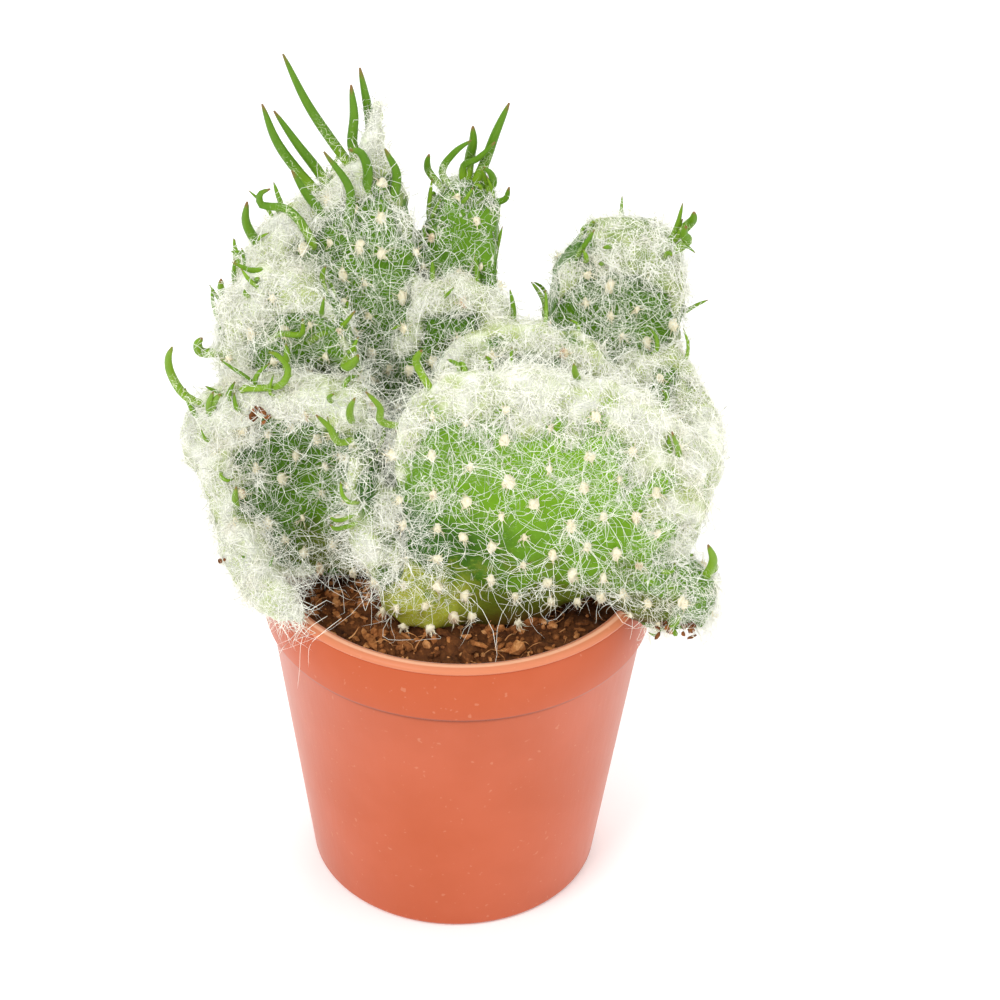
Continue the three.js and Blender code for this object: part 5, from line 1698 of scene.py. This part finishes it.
class PRICKLYPEAR_OT_stage(bpy.types.Operator):
    """Set up the pale floor, the soft lights and the camera"""
    bl_idname = "pricklypear.stage"
    bl_label = "Stage"

    def execute(self, context):
        scene = context.scene
        bm = bmesh.new()
        bmesh.ops.create_grid(bm, x_segments=2, y_segments=2, size=6.0)
        floor = bpy.data.objects.new("floor", mesh_from(bm, "floor"))
        floor.data.materials.append(floor_material())
        scene.collection.objects.link(floor)

        world = bpy.data.worlds.new("studio")
        world.use_nodes = True
        sky = world.node_tree.nodes["Background"]
        sky.inputs["Color"].default_value = (1.0, 1.0, 1.0, 1.0)
        sky.inputs["Strength"].default_value = 0.72
        scene.world = world
        self.lamp("key", (-0.55, -0.65, 0.95), 0.6, 8.0)
        self.lamp("fill", (0.75, -0.35, 0.5), 0.8, 2.4)
        self.lamp("top", (0.1, 0.5, 1.1), 0.7, 4.8)

        pitch, yaw, roll = (math.radians(angle) for angle in (CAMERA_PITCH, CAMERA_YAW, CAMERA_ROLL))
        forward = Vector((math.sin(yaw) * math.cos(pitch), math.cos(yaw) * math.cos(pitch), -math.sin(pitch)))
        right = forward.cross(Vector((0, 0, 1))).normalized()
        up = right.cross(forward)
        side = right * math.cos(roll) + up * math.sin(roll)
        top = up * math.cos(roll) - right * math.sin(roll)
        lens = bpy.data.cameras.new("camera")
        lens.sensor_width = SENSOR_WIDTH
        lens.lens = CAMERA_FOCAL_PIXELS / PICTURE_PIXELS * SENSOR_WIDTH
        lens.clip_start = 0.01
        camera = bpy.data.objects.new("camera", lens)
        turn = Matrix((side, top, -forward)).transposed().to_4x4()
        camera.matrix_world = Matrix.Translation(Vector((0, -CAMERA_DISTANCE, CAMERA_HEIGHT)) * MM) @ turn
        scene.collection.objects.link(camera)
        scene.camera = camera
        scene.view_settings.view_transform = "Standard"
        return {"FINISHED"}

    @staticmethod
    def lamp(name, place, size, power):
        light = bpy.data.lights.new(name, "AREA")
        light.size = size
        light.energy = power
        lamp = bpy.data.objects.new(name, light)
        lamp.location = place
        lamp.rotation_euler = (Vector((0, 0, 0.09)) - Vector(place)).to_track_quat("-Z", "Y").to_euler()
        bpy.context.scene.collection.objects.link(lamp)


class PRICKLYPEAR_PT_panel(bpy.types.Panel):
    """Lists the pieces and their settings"""
    bl_idname = "PRICKLYPEAR_PT_panel"
    bl_label = "Prickly pear"
    bl_space_type = "VIEW_3D"
    bl_region_type = "UI"
    bl_category = "Prickly pear"

    def draw(self, context):
        layout = self.layout
        for operator in OPERATORS:
            layout.operator(operator.bl_idname)
        for key, group in SETTINGS.items():
            box = layout.box()
            for field in group.__annotations__:
                box.prop(getattr(context.scene, key), field)


SETTINGS = {
    "pricklypear_pot": PotSettings,
    "pricklypear_soil": SoilSettings,
    "pricklypear_flesh": FleshSettings,
    "pricklypear_leaves": LeafSettings,
    "pricklypear_wool": WoolSettings,
}
OPERATORS = (
    PRICKLYPEAR_OT_stage, PRICKLYPEAR_OT_pot, PRICKLYPEAR_OT_soil, PRICKLYPEAR_OT_flesh,
    PRICKLYPEAR_OT_leaves, PRICKLYPEAR_OT_tufts, PRICKLYPEAR_OT_felt, PRICKLYPEAR_OT_hair,
)


def register():
    for group in (*SETTINGS.values(), *OPERATORS, PRICKLYPEAR_PT_panel):
        bpy.utils.register_class(group)
    for key, group in SETTINGS.items():
        setattr(bpy.types.Scene, key, bpy.props.PointerProperty(type=group))


def unregister():
    for key in SETTINGS:
        delattr(bpy.types.Scene, key)
    for group in (PRICKLYPEAR_PT_panel, *reversed(OPERATORS), *reversed(SETTINGS.values())):
        bpy.utils.unregister_class(group)


def main():
    register()
    for operator in OPERATORS:
        getattr(bpy.ops.pricklypear, operator.bl_idname.split(".")[1])()


if __name__ == "__main__":
    main()
